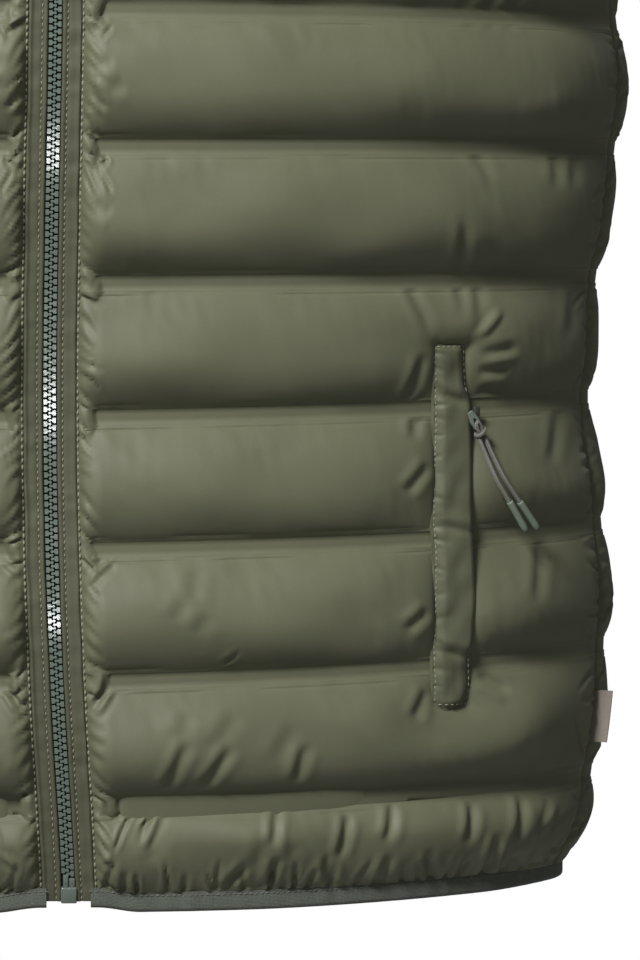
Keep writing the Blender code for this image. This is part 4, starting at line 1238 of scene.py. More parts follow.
def back_panel(name, seed):
    """The quilted back in one piece, puckered along both side seams."""
    base, normal = back_base()
    run = run_along(base)
    left_over = run[:, -1:] - run
    height = base[..., 2] + LENGTH
    edge = np.minimum(run, left_over)
    full = rounded(edge - EDGE_FLAT, SIDE_ROUND) * side_fade(edge)
    folds = faint_folds(seed + 8, run, height) + creased(base[..., 0], height, BACK_CREASES)
    for k, inwards in enumerate((run, left_over)):
        folds += creased(inwards, height, edge_puckers(seed + 3 + k, SIDE_GATHER))
    free = free_rows() * np.sqrt(full)
    lifted = np.maximum(padded_height(seed, run, height, 0 * run) * full + folds * free, LEAST_LIFT)
    sewn = BANDED[:, None] | (edge < ON_EDGE)
    lifted = np.where(sewn, 0.0, lifted)
    start = base + normal * (lifted + side_lift(edge))[..., None]
    near_side = np.exp(-edge / 0.016)
    hem = (CHANNEL == 0)[:, None]
    more_across = 0.001 + 0.015 * hem + 0.008 * near_side
    more_up = 0.001 + 0.025 * near_side
    outer = settle(start, base, normal, sewn | (edge < HELD_SIDE), more_across, more_up)
    return sewn_panel(name, "back", base, normal, outer, 1)


LEFT = front_panel("front_left_quilted", 1, 11)
RIGHT = front_panel("front_right_quilted", -1, 41)
BACK = back_panel("back_quilted", 71)

# %% [markdown]
# ## Zip and its strips
# The zip is a moulded one: two rows of teeth locked together, with a narrow nylon strip on each
# side that has a folded lip beside the teeth and a raised seam beside the front. The strips are
# one section swept up the front edge, a little wavy where the stitches draw them in.

# %% Line of the zip
CHAIN_START = 0.0136
SLIDER_BELOW_TOP = 0.0165
BESIDE_SLIDER = 0.0155
SLIDER_SIDE = 0.0047
SLIDER_CLEAR = 0.0004
TOOTH_PITCH = 0.0031
ZIP_STEP = 0.002
CHAIN_STEP = 0.004
STRIP_START = 0.0015
STRIP_STEP = 0.0018


def zip_path():
    """Points and outward normals of the closed front edge, from the hem to the collar top."""
    line = torso(np.append(np.arange(0.0, NECK_PIT, ZIP_STEP), NECK_PIT), np.array(0.0))
    up = unit(np.array([0.0, COLLAR_LEAN, 1.0]))
    line = np.concatenate([line, line[-1] + up * np.linspace(0, COLLAR_FRONT, 41)[1:, None]])
    along = unit(np.gradient(line, axis=0))
    normal = np.stack([np.zeros(len(line)), -along[:, 2], along[:, 1]], axis=-1)
    line[:, 0] = sway(line[:, 2] + LENGTH)
    return line, normal


ZIP_LINE, ZIP_NORMAL = zip_path()
ZIP_TOP = ZIP_LINE[-1][2] + LENGTH - SLIDER_BELOW_TOP - SLIDER_CLEAR


def zip_places(heights):
    """Points and outward normals on the front edge at some heights."""
    levels = ZIP_LINE[:, 2] + LENGTH
    points = np.stack([np.interp(heights, levels, ZIP_LINE[:, k]) for k in range(3)], axis=-1)
    normals = np.stack([np.interp(heights, levels, ZIP_NORMAL[:, k]) for k in range(3)], axis=-1)
    return points, unit(normals)


print("top of the zip:", round(float(ZIP_TOP), 3))

# %% Strips beside the zip
STRIP_SECTION = np.array([
    (0.0031, -0.0010), (0.0030, -0.0001), (0.0034, 0.0006), (0.0041, 0.0007), (0.0049, 0.0003),
    (0.0054, -0.0001), (0.0059, 0.0002), (0.0070, 0.0003), (0.0085, 0.0002), (0.0095, 0.0003),
    (0.0100, 0.0009), (0.0106, 0.0010), (0.0112, 0.0004), (0.0115, -0.0008), (0.0113, -0.0016),
    (0.0070, -0.0016), (0.0034, -0.0016),
])
STRIP_WAVE = np.array([0.2, 0.4, 0.6, 0.6, 0.4, 0.1, 0.5, 1.0, 1.0, 0.8, 1.0, 1.0, 0.4, 0, 0, 0, 0])


def along_zip(heights, across, out):
    """Sections along the zip from each point's place across it and out of it."""
    points, normals = zip_places(heights)
    sections = points[:, None] + normals[:, None] * out[..., None]
    sections[..., 0] += across
    return sections


def zip_strip(name, side, seed):
    """A nylon strip between the zip and a front."""
    heights = np.arange(STRIP_START, ZIP_TOP + BESIDE_SLIDER, STRIP_STEP)
    wave = 0.00022 * waver(seed, heights, 0.011) + 0.00012 * waver(seed + 1, heights, 0.005)
    out = STRIP_SECTION[None, :, 1] + wave[:, None] * STRIP_WAVE
    drift = 0.00018 * waver(seed + 2, heights, 0.024)[:, None]
    across = STRIP_SECTION[None, :, 0] + drift * STRIP_WAVE
    across = side * np.where(heights[:, None] > ZIP_TOP, np.maximum(across, SLIDER_SIDE), across)
    obj = swept(name, along_zip(heights, across, out), SHADED_STRIP_NYLON)
    placed(obj, "garment", [f"zip_placket_{SIDES[side]}"])
    print(name, "points", len(obj.data.vertices))


zip_strip("zip_strip_left", 1, 101)
zip_strip("zip_strip_right", -1, 111)

# %% [markdown]
# ## Repeats along a line
# Teeth and stitches repeat along a line, so one node tree makes them all: it spaces points along
# the line, turns one unit to the line and to the cloth's own outward direction, and sets its
# material. The result is turned into a plain mesh.

# %% Node tree for repeats
def repeat_tree():
    """Geometry nodes that repeat a unit along the edges of a mesh with an outward direction."""
    tree, source, sink = group(
        "repeat_along_line", "GeometryNodeTree",
        {"Line": "Geometry", "Unit": "Object", "Spacing": "Float", "Smallest": "Float", "Seed": "Int",
         "Finish": "Material"},
        {"Repeats": "Geometry"})
    nodes = tree.nodes
    curve = nodes.new("GeometryNodeMeshToCurve")
    spaced = nodes.new("GeometryNodeResampleCurve")
    spaced.mode = "LENGTH"
    tangent = nodes.new("GeometryNodeInputTangent")
    out = nodes.new("GeometryNodeInputNamedAttribute")
    out.data_type = "FLOAT_VECTOR"
    out.inputs["Name"].default_value = "out"
    along = nodes.new("FunctionNodeAlignRotationToVector")
    along.axis = "Y"
    facing = nodes.new("FunctionNodeAlignRotationToVector")
    facing.axis = "Z"
    facing.pivot_axis = "Y"
    size = nodes.new("FunctionNodeRandomValue")
    size.data_type = "FLOAT"
    info = nodes.new("GeometryNodeObjectInfo")
    many = nodes.new("GeometryNodeInstanceOnPoints")
    real = nodes.new("GeometryNodeRealizeInstances")
    finish = nodes.new("GeometryNodeSetMaterial")
    wire(tree, source["Line"], curve.inputs["Mesh"])
    wire(tree, curve.outputs["Curve"], spaced.inputs["Curve"])
    wire(tree, source["Spacing"], spaced.inputs["Length"])
    wire(tree, tangent.outputs["Tangent"], along.inputs["Vector"])
    wire(tree, along.outputs["Rotation"], facing.inputs["Rotation"])
    wire(tree, out.outputs["Attribute"], facing.inputs["Vector"])
    wire(tree, spaced.outputs["Curve"], many.inputs["Points"])
    wire(tree, source["Unit"], info.inputs["Object"])
    wire(tree, info.outputs["Geometry"], many.inputs["Instance"])
    wire(tree, facing.outputs["Rotation"], many.inputs["Rotation"])
    smallest, largest = [s for s in size.inputs if s.type == "VALUE" and s.enabled][:2]
    wire(tree, source["Smallest"], smallest)
    largest.default_value = 1.0
    wire(tree, source["Seed"], size.inputs["Seed"])
    wire(tree, next(s for s in size.outputs if s.type == "VALUE" and s.enabled), many.inputs["Scale"])
    wire(tree, many.outputs["Instances"], real.inputs["Geometry"])
    wire(tree, real.outputs["Geometry"], finish.inputs["Geometry"])
    wire(tree, source["Finish"], finish.inputs["Material"])
    wire(tree, finish.outputs["Geometry"], sink["Repeats"])
    return tree, {item.name: item.identifier for item in tree.interface.items_tree if item.in_out == "INPUT"}


REPEAT, REPEAT_INPUTS = repeat_tree()

print("inputs for repeats:", list(REPEAT_INPUTS))

# %% Repeats along lines
def repeated(name, lines, shape, spacing, finish, smallest=1.0, seed=1):
    """A plain mesh of a unit repeated along (points, outward directions) lines."""
    points = np.concatenate([line for line, _ in lines])
    outs = np.concatenate([out for _, out in lines])
    edges = []
    first = 0
    for line, _ in lines:
        edges += [(first + k, first + k + 1) for k in range(len(line) - 1)]
        first += len(line)
    mesh = bpy.data.meshes.new(name + "_line")
    mesh.from_pydata(points.tolist(), edges, [])
    mesh.attributes.new("out", "FLOAT_VECTOR", "POINT").data.foreach_set("vector", outs.ravel())
    guide = bpy.data.objects.new(name + "_line", mesh)
    scene.collection.objects.link(guide)
    modifier = guide.modifiers.new("repeat", "NODES")
    modifier.node_group = REPEAT
    values = {"Unit": shape, "Spacing": spacing, "Smallest": smallest, "Seed": seed, "Finish": finish}
    for key, value in values.items():
        modifier[REPEAT_INPUTS[key]] = value
    bpy.context.view_layer.update()
    graph = bpy.context.evaluated_depsgraph_get()
    made = bpy.data.meshes.new_from_object(guide.evaluated_get(graph), depsgraph=graph)
    made.name = name
    bpy.data.objects.remove(guide)
    obj = bpy.data.objects.new(name, made)
    scene.collection.objects.link(obj)
    print(name, "faces", len(made.polygons))
    return obj


# %% Teeth and tape
TOOTH_OUTLINE = np.array([
    (0.00268, -0.00118), (0.00268, 0.00118), (0.00125, 0.00118), (0.00095, 0.00050), (0.00060, 0.00040),
    (0.00030, 0.00064), (-0.00025, 0.00064), (-0.00058, 0.00034), (-0.00058, -0.00034), (-0.00025, -0.00064),
    (0.00030, -0.00064), (0.00060, -0.00040), (0.00095, -0.00050), (0.00125, -0.00118),
])
TOOTH_RINGS = [(-0.0014, 0.0), (0.00046, 0.0), (0.00060, 0.00012)]
TAPE_START = 0.0040
TAPE_CORNERS = np.array([(-0.0040, -0.0019), (0.0040, -0.0019), (0.0040, -0.0013), (-0.0040, -0.0013)])


def tooth(name, side):
    """One moulded tooth: a block with a narrow neck and a round head that locks past the middle."""
    ahead = unit(np.roll(TOOTH_OUTLINE, -1, axis=0) - TOOTH_OUTLINE)
    behind = unit(TOOTH_OUTLINE - np.roll(TOOTH_OUTLINE, 1, axis=0))
    inward = -unit(np.stack([ahead[:, 1] + behind[:, 1], -ahead[:, 0] - behind[:, 0]], axis=-1))
    count = len(TOOTH_OUTLINE)
    rings = []
    for level, inset in TOOTH_RINGS:
        flat = TOOTH_OUTLINE + inward * inset
        rings.append(np.concatenate([flat * (side, 1.0), np.full((count, 1), level)], axis=1))
    faces = ring_faces(len(rings), count)
    obj = outwards(piece(name, np.concatenate(rings), faces, PLASTIC, smooth=False))
    scene.collection.objects.unlink(obj)
    return obj


for side, late in ((1, 0.0), (-1, TOOTH_PITCH / 2)):
    heights = np.arange(CHAIN_START + late, ZIP_TOP, CHAIN_STEP)
    teeth = repeated(f"zip_teeth_{SIDES[side]}", [zip_places(heights)], tooth(f"tooth_{side}", side),
                     TOOTH_PITCH, PLASTIC)
    placed(teeth, "garment", ["zip_chain"])
heights = np.arange(TAPE_START, ZIP_TOP + BESIDE_SLIDER, CHAIN_STEP)
tape = swept("zip_tape_woven", along_zip(heights, TAPE_CORNERS[:, 0], TAPE_CORNERS[None, :, 1]), TAPE)
placed(tape, "garment", ["zip_chain"])
print("tape points:", len(tape.data.vertices))

# %% Box at the foot of the zip
BOX_AT = 0.0044
BOX_SIZE = (0.0068, 0.0040, 0.0070)
BOX_BEVEL = 0.0006
Pin = namedtuple("Pin", "letter across top width")
PINS = [Pin("a", -0.0013, 0.0134, 0.0023), Pin("b", 0.0014, 0.0118, 0.0024)]
PIN_FOOT = 0.0076
PIN_THICK = 0.0026
PIN_BACK = 0.0004
PIN_BEVEL = 0.0004
DIMPLE_UP = 0.0054
DIMPLE_OUT = 0.00088
DIMPLE_SIZE = (0.0005, 0.0002, 0.0005)
DIMPLE_BEVEL = 0.00008

box_point, box_normal = (value[0] for value in zip_places(np.array([BOX_AT])))
box_up = np.array([0.0, box_normal[2], -box_normal[1]])
box_axes = [np.array([1.0, 0.0, 0.0]), -box_normal, box_up]
foot = [bevelled("zip_box_moulded", box_point, box_axes, BOX_SIZE, BOX_BEVEL, PLASTIC)]
for pin in PINS:
    rise = (pin.top + PIN_FOOT) / 2 - BOX_AT
    centre = box_point + box_up * rise + (pin.across, 0, 0) - box_normal * PIN_BACK
    size = (pin.width, PIN_THICK, pin.top - PIN_FOOT)
    foot.append(bevelled(f"zip_pin_{pin.letter}_moulded", centre, box_axes, size, PIN_BEVEL, PLASTIC))
    # Each pin's dimple is a flat near-black patch of the tape's material: painted shade, not a recess.
    mark = box_point + box_up * DIMPLE_UP + (pin.across, 0, 0) + box_normal * DIMPLE_OUT
    foot.append(bevelled(f"zip_pin_{pin.letter}_dimple", mark, box_axes, DIMPLE_SIZE, DIMPLE_BEVEL, TAPE))
for moulded in foot:
    placed(moulded, "garment", ["zip_bottom_box"])
for node in ("zip_slider", "zip_pull_tab"):
    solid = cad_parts[node]
    solid.data.materials.clear()
    solid.data.materials.append(PLASTIC)
print("zip finished")

# %% [markdown]
# ## Bindings
# Elastic tape is folded round the hem and the armholes. It is a thin U that takes the panel's edge
# between its legs, swept along the edge and slightly rippled, as elastic is when it draws cloth in.

# %% Folded tape
TAPE_THICK = 0.0006
TAPE_OUTER = 0.0011
TAPE_INNER = -0.0029
TAPE_LIP = -0.0012
TAPE_LEG = 0.0020
BEND_MIDDLE = np.array([0.0056, -0.0009])
BEND_RADIUS = 0.0020
TAPE_SHARP = 80
STITCH_IN = 0.0004
STITCH_OUT = 0.00115
CLOSING = 0.02
TORSO_MIDDLE = np.array([0.0, 0.0, -0.30])
HEM_POINTS = 620
HEM_END = 0.0015
ARMHOLE_POINTS = 321
NORMAL_SMOOTHING = 80
EDGE_SMOOTHING = 6
LEVEL = np.array([1.0, 1.0, 0.0])


def folded_section():
    """Outline of tape folded to a U, as (away from the cloth, out of the cloth)."""
    turn = np.linspace(math.pi / 2, -math.pi / 2, 9)
    bend = np.stack([np.cos(turn), np.sin(turn)], axis=-1)
    sides = []
    for thick in (0.0, TAPE_THICK):
        out, back = TAPE_OUTER - thick, TAPE_INNER + thick
        sides.append(np.concatenate([[(TAPE_LIP, out), (TAPE_LEG, out)],
                                     BEND_MIDDLE + bend * (BEND_RADIUS - thick),
                                     [(TAPE_LEG, back), (TAPE_LIP, back)]]))
    return np.concatenate([sides[0], sides[1][::-1]])


FOLDED = folded_section()

print("points of the folded tape:", len(FOLDED))

# %% Tape along an edge
def binding(name, edge, away, normal, closed, seed, nodes):
    """Elastic tape along an edge; returns the line of its stitches."""
    run = run_of(edge)
    ripple = 0.00022 * waver(seed, run, 0.009) + 0.0003 * waver(seed + 1, run, 0.030)
    if closed:
        ripple *= np.clip(np.minimum(run, run[-1] - run) / CLOSING, 0, 1)
    lift = np.where(FOLDED[:, 1] > 0, 1.0, 0.3) * ripple[:, None]
    sections = (edge[:, None] + away[:, None] * FOLDED[None, :, :1]
                + normal[:, None] * (FOLDED[None, :, 1] + lift)[..., None])
    obj = swept(name, sections, ELASTIC, closed=closed, sharp=TAPE_SHARP)
    placed(obj, "garment", nodes)
    print(name, "length", round(float(run[-1]), 3), "m")
    return edge + away * STITCH_IN + normal * (STITCH_OUT + ripple)[:, None], normal


# %% Hem and armholes
def hem(name, seed, node):
    """Tape round the hem, from one side of the zip to the other."""
    edge, normal = (np.concatenate([LEFT[k][0], BACK[k][0, 1:-1], RIGHT[k][0, ::-1]]) for k in (0, 1))
    edge[0, 0] -= HEM_END
    edge[-1, 0] += HEM_END
    even = np.linspace(0, 1, HEM_POINTS)
    away = np.tile(np.array([0.0, 0.0, -1.0]), (HEM_POINTS, 1))
    normal = unit(resampled(unit(normal * LEVEL), even))
    return binding(name, resampled(edge, even), away, normal, False, seed, [node])


def armhole(name, front, back, back_column, seed, node):
    """Tape round an armhole, from the side seam over the shoulder and back."""
    first = max(k for k, row in enumerate(ROWS) if row.heights[1] <= ARMHOLE_BOTTOM)
    even = np.linspace(0, 1, ARMHOLE_POINTS)
    loops = []
    for points in zip(front[:2], back[:2]):
        loop = np.concatenate([points[0][first:, -1], points[1][first + 1:-1, back_column][::-1]])
        loops.append(resampled(np.concatenate([loop, loop[:1]]), even)[:-1])
    edge, normal = loops[0], unit(loops[1])
    normal *= np.sign(np.sum(normal * (edge - TORSO_MIDDLE), axis=1))[:, None]
    for _ in range(NORMAL_SMOOTHING):
        normal = unit(normal + (np.roll(normal, 1, axis=0) + np.roll(normal, -1, axis=0)) / 2)
    for _ in range(EDGE_SMOOTHING):
        edge = (2 * edge + np.roll(edge, 1, axis=0) + np.roll(edge, -1, axis=0)) / 4
    along = np.roll(edge, -1, axis=0) - np.roll(edge, 1, axis=0)
    away = unit(np.cross(along, normal))
    away *= np.sign(np.sum(away * (edge.mean(axis=0) - edge)))
    return binding(name, edge, away, normal, True, seed, [node])


STITCH_LINES = {"elastic": [hem("hem_tape", 131, "hem_binding")]}
STITCH_LINES["elastic"].append(armhole("armhole_tape_left", LEFT, BACK, 0, 141, "armhole_binding_left"))
STITCH_LINES["elastic"].append(armhole("armhole_tape_right", RIGHT, BACK, -1, 151, "armhole_binding_right"))

# %% [markdown]
# ## Pocket welts
# A welt is a strip of the shell cloth, stitched down along one side, across both ends and a little
# way along the other side. Between those ends its folded lip stands off. The stitches draw it into
# short puckers, so it is a thin shell with those puckers placed along the stitched side.

# %% Sizes of the welts
Edge = namedtuple("Edge", "height left right")
WELT_EDGES = [
    Edge(0.0812, 0.0000, -0.0008),
    Edge(0.0907, 0.0000, 0.0008),
    Edge(0.1080, -0.0004, 0.0002),
    Edge(0.1296, 0.0000, 0.0016),
    Edge(0.1468, 0.0004, 0.0008),
    Edge(0.1727, -0.0008, 0.0000),
    Edge(0.1899, -0.0002, 0.0000),
    Edge(0.2029, 0.0004, -0.0004),
    Edge(0.2158, 0.0004, -0.0008),
    Edge(0.2244, 0.0004, -0.0012),
    Edge(0.2418, -0.0017, -0.0017),
]
# Height of the welt across its width, where its lip is loose and where it is stitched down.
Across = namedtuple("Across", "share out")
WELT_LOOSE = [Across(0.00, 0.0016), Across(0.07, 0.0019), Across(0.13, 0.0034), Across(0.25, 0.0049),
              Across(0.45, 0.0054), Across(0.70, 0.0059), Across(0.88, 0.0062), Across(0.96, 0.0056),
              Across(1.00, 0.0046)]
WELT_SEWN = [Across(0.00, 0.0016), Across(0.07, 0.0019), Across(0.13, 0.0032), Across(0.25, 0.0044),
             Across(0.45, 0.0048), Across(0.70, 0.0047), Across(0.84, 0.0036), Across(0.92, 0.0021),
             Across(1.00, 0.0017)]
WELT_ROWS = 230
WELT_THICK = 0.0013
WELT_LOW = 0.0015
WELT_ENDS = (0.0860, 0.2370, 0.2415)
LIP_FREE = (0.098, 0.112, 0.212, 0.224)
LIP_SEWN = (0.103, 0.2195)
WELT_SPAN = 0.018
WELT_LINES = QUILT_LINES[2:5, 1]
Pucker = namedtuple("Pucker", "height width depth reach slope")
SEAM_IN = 0.06
THREAD_OUT = 0.0001

print("welt length:", round(WELT_EDGES[-1].height - WELT_EDGES[0].height, 4))

# %% Height of a welt
def welt_puckers(seed):
    """Uneven short puckers along the welt's stitched side."""
    random = np.random.default_rng(seed)
    puckers = []
    height = 0.084
    while height < 0.238:
        puckers.append(Pucker(height, random.uniform(0.0008, 0.0016), random.uniform(0.0003, 0.0014),
                              random.uniform(0.15, 0.5), random.uniform(-0.006, 0.012)))
        height += random.uniform(0.0036, 0.0115)
    return puckers


def rise_and_fall(value, low, full, last, high):
    """A soft step up, then a soft step down."""
    return smooth((value - low) / (full - low)) * (1 - smooth((value - last) / (high - last)))


def welt_height(seed, shares, level):
    """How far the welt stands off the front: its profile, its puckers and a fold at each quilting line."""
    free = rise_and_fall(level, *LIP_FREE)
    ends = rise_and_fall(level, WELT_EDGES[0].height, *WELT_ENDS)
    loose = np.interp(shares, *zip(*WELT_LOOSE))
    sewn = np.interp(shares, *zip(*WELT_SEWN))
    arch = np.sin(math.pi * shares)
    out = WELT_LOW + ((sewn + (loose - sewn) * free) - WELT_LOW) * (0.15 + 0.85 * ends)
    out = out + 0.0005 * wander(seed + 3, shares * WELT_SPAN, level, 0.016) * arch
    for pucker in welt_puckers(seed):
        slant = level - pucker.height + shares * pucker.slope
        fade = np.clip(1 - shares / pucker.reach, 0, 1) * (shares > SEAM_IN)
        out -= pucker.depth * np.exp(-(slant / pucker.width) ** 2) * fade
    for line in WELT_LINES:
        slant = level - line - 0.004 + 0.005 * shares
        out -= 0.0013 * np.exp(-(slant / 0.0022) ** 2) * np.sin(math.pi * np.clip(shares, 0.04, 1)) ** 0.5
        out += 0.0007 * np.exp(-((slant - 0.0045) / 0.0026) ** 2) * arch
    return out


print("quilting lines under a welt:", len(WELT_LINES))

# %% Sewn welts
def welt(name, side, seed, node):
    """A pocket welt and the lines of its stitches."""
    heights = np.linspace(WELT_EDGES[0].height, WELT_EDGES[-1].height, WELT_ROWS)
    columns = np.concatenate([np.linspace(0, 0.14, 6), np.linspace(0.14, 0.86, 17)[1:],
                              np.linspace(0.86, 1, 7)[1:]])
    level, shares = np.meshgrid(heights, columns, indexing="ij")
    left = WELT_LEFT + eased(WELT_EDGES, "left", level)
    right = WELT_RIGHT + eased(WELT_EDGES, "right", level)
    outer, normals = on_front(side, left + (right - left) * shares, level, welt_height(seed, shares, level))
    obj = wall(name, outer, outer - normals * WELT_THICK, list(range(WELT_ROWS)), SHADED_WELT_NYLON)
    placed(obj, "garment", [node])
    seams = [np.s_[:, 3], np.s_[4, 3:-3], np.s_[-5, 3:-3], np.s_[heights < LIP_SEWN[0], -3],
             np.s_[heights > LIP_SEWN[1], -3]]
    return [(outer[seam] + normals[seam] * THREAD_OUT, normals[seam]) for seam in seams]


STITCH_LINES["welt"] = (welt("pocket_left_welt_sewn", 1, 161, "pocket_left_welt")
                        + welt("pocket_right_welt_sewn", -1, 171, "pocket_right_welt"))
print("welts sewn")

# %% [markdown]
# ## Collar
# The collar stands on the neckline in two padded channels. It is outside the picture, so it is
# plain; its cloth is settled like the fronts.

# %% Collar
COLLAR_SEAM_GAP = -0.0008
COLLAR_POINTS = 261
COLLAR_SMOOTHING = 10
COLLAR_LOW = 0.45
COLLAR_HIGH = 0.54
COLLAR_UPPER = 0.46
COLLAR_ROUND = 0.010
COLLAR_HELD = 0.0012
COLLAR_INSIDE = 6
NECK_CLEAR = 0.001


def collar(name):
    """A padded stand collar on the neckline, open at the zip."""
    first = next(k for k, row in enumerate(ROWS) if row.heights[0] >= NECK_PIT - 1e-6)
    top = BACK[0][-1]
    behind = top[np.abs(top[:, 0]) < NECK_HALF_WIDTH - NECK_CLEAR]
    loop = np.concatenate([LEFT[0][first:, 0], behind, RIGHT[0][first:, 0][::-1]])
    loop = resampled(loop, np.linspace(0, 1, COLLAR_POINTS))
    along = unit(np.gradient(loop, axis=0) * LEVEL)
    outward = np.stack([along[:, 1], -along[:, 0], np.zeros(len(loop))], axis=-1)
    outward *= np.sign(np.sum(outward * (loop - loop.mean(axis=0)), axis=1))[:, None]
    for _ in range(COLLAR_SMOOTHING):
        outward[1:-1] = unit(outward[1:-1] * 2 + outward[:-2] + outward[2:])
    outward[[0, -1]] = (0.0, -1.0, 0.0)
    up = unit(np.array([0.0, 0.0, 1.0]) - COLLAR_LEAN * outward)
    depth = np.where(loop[:, 1] < 0, loop[:, 1] / loop[0, 1], loop[:, 1] / loop[:, 1].max())
    end = np.where(loop[:, 1] < 0, COLLAR_FRONT, COLLAR_BACK)
    tall = COLLAR_SIDE + (end - COLLAR_SIDE) * depth
    shares = np.concatenate([np.linspace(0, COLLAR_LOW, 19), [0.48, 0.51], np.linspace(COLLAR_HIGH, 1, 19)])
    upper = np.clip((shares - COLLAR_HIGH) / COLLAR_UPPER, 0, 1)
    local = np.where(shares <= COLLAR_LOW, shares / COLLAR_LOW, upper)
    banded = np.isin(local, (0.0, 1.0))
    grid = loop + up * (COLLAR_SEAM_GAP + shares[:, None] * tall)[..., None]
    normal = np.broadcast_to(outward, grid.shape).copy()
    run = run_along(grid)
    edge = np.minimum(run, run[:, -1:] - run)
    raised = COLLAR_PUFF * cushion(local, CROWN)[:, None] * rounded(edge, COLLAR_ROUND)
    raised = raised * (1 + 0.15 * wander(181, run, shares[:, None] * 0.06 + run * 0, 0.040))
    held = banded[:, None] | (edge < COLLAR_HELD)
    raised = np.where(held, 0.0, raised)
    start = grid + normal * raised[..., None]
    near = np.exp(-edge / 0.02)
    outer = settle(start, grid, normal, held, 0.005 + 0.01 * near, 0.005 + 0.02 * near)
    kept = [*range(0, len(shares), COLLAR_INSIDE), len(shares) - 1]
    obj = wall(name, outer, grid - normal * WALL, kept, NYLON)
    placed(obj, "garment", ["collar"])
    print(name, "points", len(obj.data.vertices))


collar("collar_quilted")

# %% [markdown]
# ## Side label
# A small blank woven tab stands out of the left side seam. It is a thin strip, a little bowed.

# %% Side label
LABEL_BOTTOM = 0.0615
LABEL_TOP = 0.0845
LABEL_REACH = 0.0100
LABEL_ROOT = 0.0006
LABEL_HALF_THICK = 0.00045


def label(name):
    """The blank tab in the left side seam."""
    shares = np.linspace(0, 1, 9)
    bow = 0.0007 * np.sin(shares * 2.2) - 0.0012 * shares ** 2
    sections = []
    for height in np.linspace(LABEL_BOTTOM, LABEL_TOP, 14):
        angle = side_angle(height)
        run = unit(torso(height, angle + ANGLE_STEP) - torso(height, angle - ANGLE_STEP))
        out = np.cross(run, np.array([0.0, 0.0, 1.0]))
        line = torso(height, angle) + out * (LABEL_ROOT + shares * LABEL_REACH)[:, None] + run * bow[:, None]
        thick = run * LABEL_HALF_THICK
        sections.append(np.concatenate([line - thick, (line + thick)[::-1]]))
    obj = swept(name, np.array(sections), LABEL)
    placed(obj, "garment", ["side_label"])


label("side_label_woven")
print("label sewn in")

# %% [markdown]
# ## Stitches
# Seams that show have single rows of lockstitch in a slightly paler thread. One short round stitch
# is repeated along each line.

# %% Stitches
EDGE_COLUMN = 1
EDGE_THREAD_OUT = 0.0003
STRIP_SEAM = 0.0054
STRIP_THREAD_OUT = 0.0002
STRIP_SEAM_STEP = 0.003
SMALLEST_STITCH = 0.8
STITCH_SEED = 7


def stitch(name, length, radius):
    """One stitch of thread, lying along its own Y axis and half sunk in the cloth."""
    shape = bmesh.new()
    bmesh.ops.create_uvsphere(shape, u_segments=6, v_segments=5, radius=1.0)
    bmesh.ops.rotate(shape, verts=shape.verts, matrix=Matrix.Rotation(math.pi / 2, 3, "X"))
    bmesh.ops.scale(shape, vec=Vector((radius, length / 2, radius)), verts=shape.verts)
    mesh = bpy.data.meshes.new(name)
    shape.to_mesh(mesh)
    shape.free()
    mesh.polygons.foreach_set("use_smooth", np.full(len(mesh.polygons), True))
    return bpy.data.objects.new(name, mesh)


def edge_line(panel):
    """Line of the stitches on a front's edge beside the zip."""
    base, normal, outer = panel
    seam = np.s_[(base[:, 0, 2] + LENGTH) < NECK_PIT, EDGE_COLUMN]
    return outer[seam] + normal[seam] * EDGE_THREAD_OUT, normal[seam]


def strip_line(side):
    """Line of the stitches in the groove of a strip beside the zip."""
    points, normals = zip_places(np.arange(STRIP_SEAM_STEP, ZIP_TOP - STRIP_SEAM_STEP, STRIP_SEAM_STEP))
    return points + normals * STRIP_THREAD_OUT + (side * STRIP_SEAM, 0, 0), normals


STITCH_LINES["front"] = [edge_line(LEFT), edge_line(RIGHT)]
STITCH_LINES["strip"] = [strip_line(1), strip_line(-1)]
CHUNKY = stitch("stitch_chunky", 0.0023, 0.00060)
FINE = stitch("stitch_fine", 0.0019, 0.00038)
Seam = namedtuple("Seam", "name unit pitch thread")
SEAMS = [Seam("front", CHUNKY, 0.0029, THREAD), Seam("strip", FINE, 0.0027, THREAD),
         Seam("welt", FINE, 0.0026, THREAD), Seam("elastic", FINE, 0.0024, DARK_THREAD)]
for seam in SEAMS:
    sewn = repeated(f"stitches_{seam.name}", STITCH_LINES[seam.name], seam.unit, seam.pitch, seam.thread,
                    SMALLEST_STITCH, STITCH_SEED)
    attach(sewn, "garment")
print("seams:", len(SEAMS))

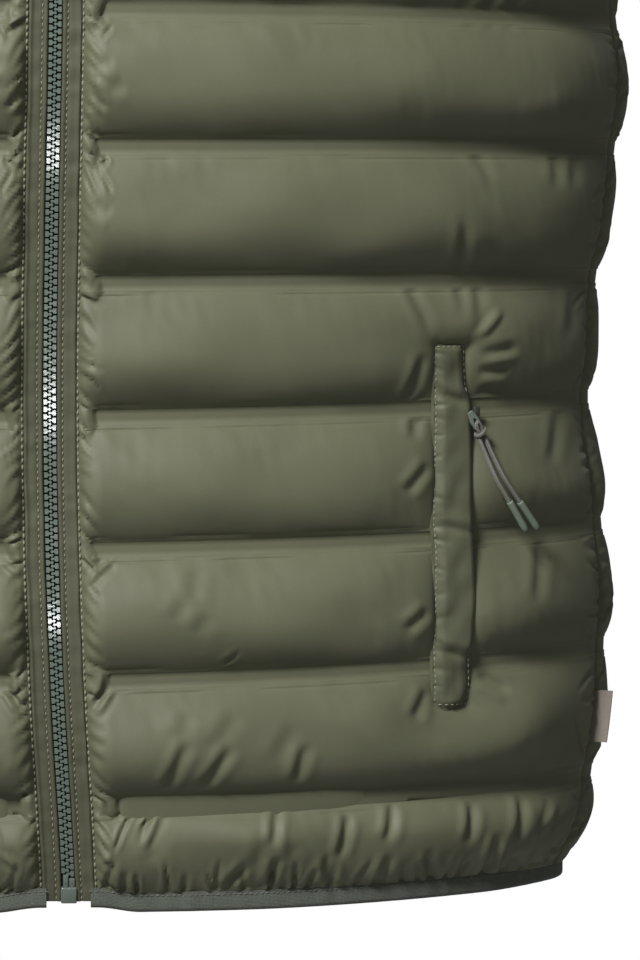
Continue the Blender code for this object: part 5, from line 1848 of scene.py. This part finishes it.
# %% [markdown]
# ## Stage
# The garment hangs in a white studio: a pale floor well below it, white all round, one large
# soft light high on the left, a weak one in front, a small one low in front that glints on the
# zip, and one behind that shows the back.

# %% Stage and light
AMBIENT = 0.128
CHEST = (0.05, -0.1, -0.45)
SPREAD = math.radians(50)
FLOOR_RADIUS = 1.2
FLOOR_HEIGHT = -1.75
FLOOR_SIDES = 64
scene.view_settings.view_transform = "Standard"
world = bpy.data.worlds.new("studio")
world.use_nodes = True
scene.world = world
tree = world.node_tree
glow = tree.nodes["Background"]
glow.inputs["Color"].default_value = (1.0, 1.0, 1.0, 1.0)
path = tree.nodes.new("ShaderNodeLightPath")
wire(tree, ranged(tree, path.outputs["Is Camera Ray"], AMBIENT, 1.0), glow.inputs["Strength"])


def area_light(name, place, target, size, power):
    """A round soft light at a place, turned to a target."""
    data = bpy.data.lights.new(name, "AREA")
    data.shape = "DISK"
    data.size = size
    data.energy = power
    obj = bpy.data.objects.new(name, data)
    obj.location = place
    obj.rotation_euler = (Vector(target) - Vector(place)).to_track_quat("-Z", "Y").to_euler()
    scene.collection.objects.link(obj)
    return obj


key = area_light("key", (-1.10, -2.12, 1.50), CHEST, 0.9, 9.9)
key.data.spread = SPREAD
area_light("front_fill", (0.3, -2.6, 0.1), CHEST, 1.2, 2.0)
glint = area_light("glint", (0.0, -2.5, -0.77), (0.0, -0.1, -0.40), 0.10, 1.3)
glint.visible_diffuse = False
behind = area_light("back_fill", (-0.5, 2.5, 1.2), (0.0, 0.1, -0.35), 0.9, 8.0)
behind.data.spread = SPREAD
behind.visible_glossy = False
floor_material = surface("floor", Finish((0.74, 0.74, 0.73), 0.7, 60, 0.02, 0.0, 0.001, 0.0, 0.0))
turn = np.linspace(0, 2 * math.pi, FLOOR_SIDES, endpoint=False)
ground = np.stack([FLOOR_RADIUS * np.cos(turn), FLOOR_RADIUS * np.sin(turn),
                   np.full(FLOOR_SIDES, FLOOR_HEIGHT)], axis=-1)
floor = piece("floor", ground, [tuple(range(FLOOR_SIDES))], floor_material, smooth=False)
print("stage ready")
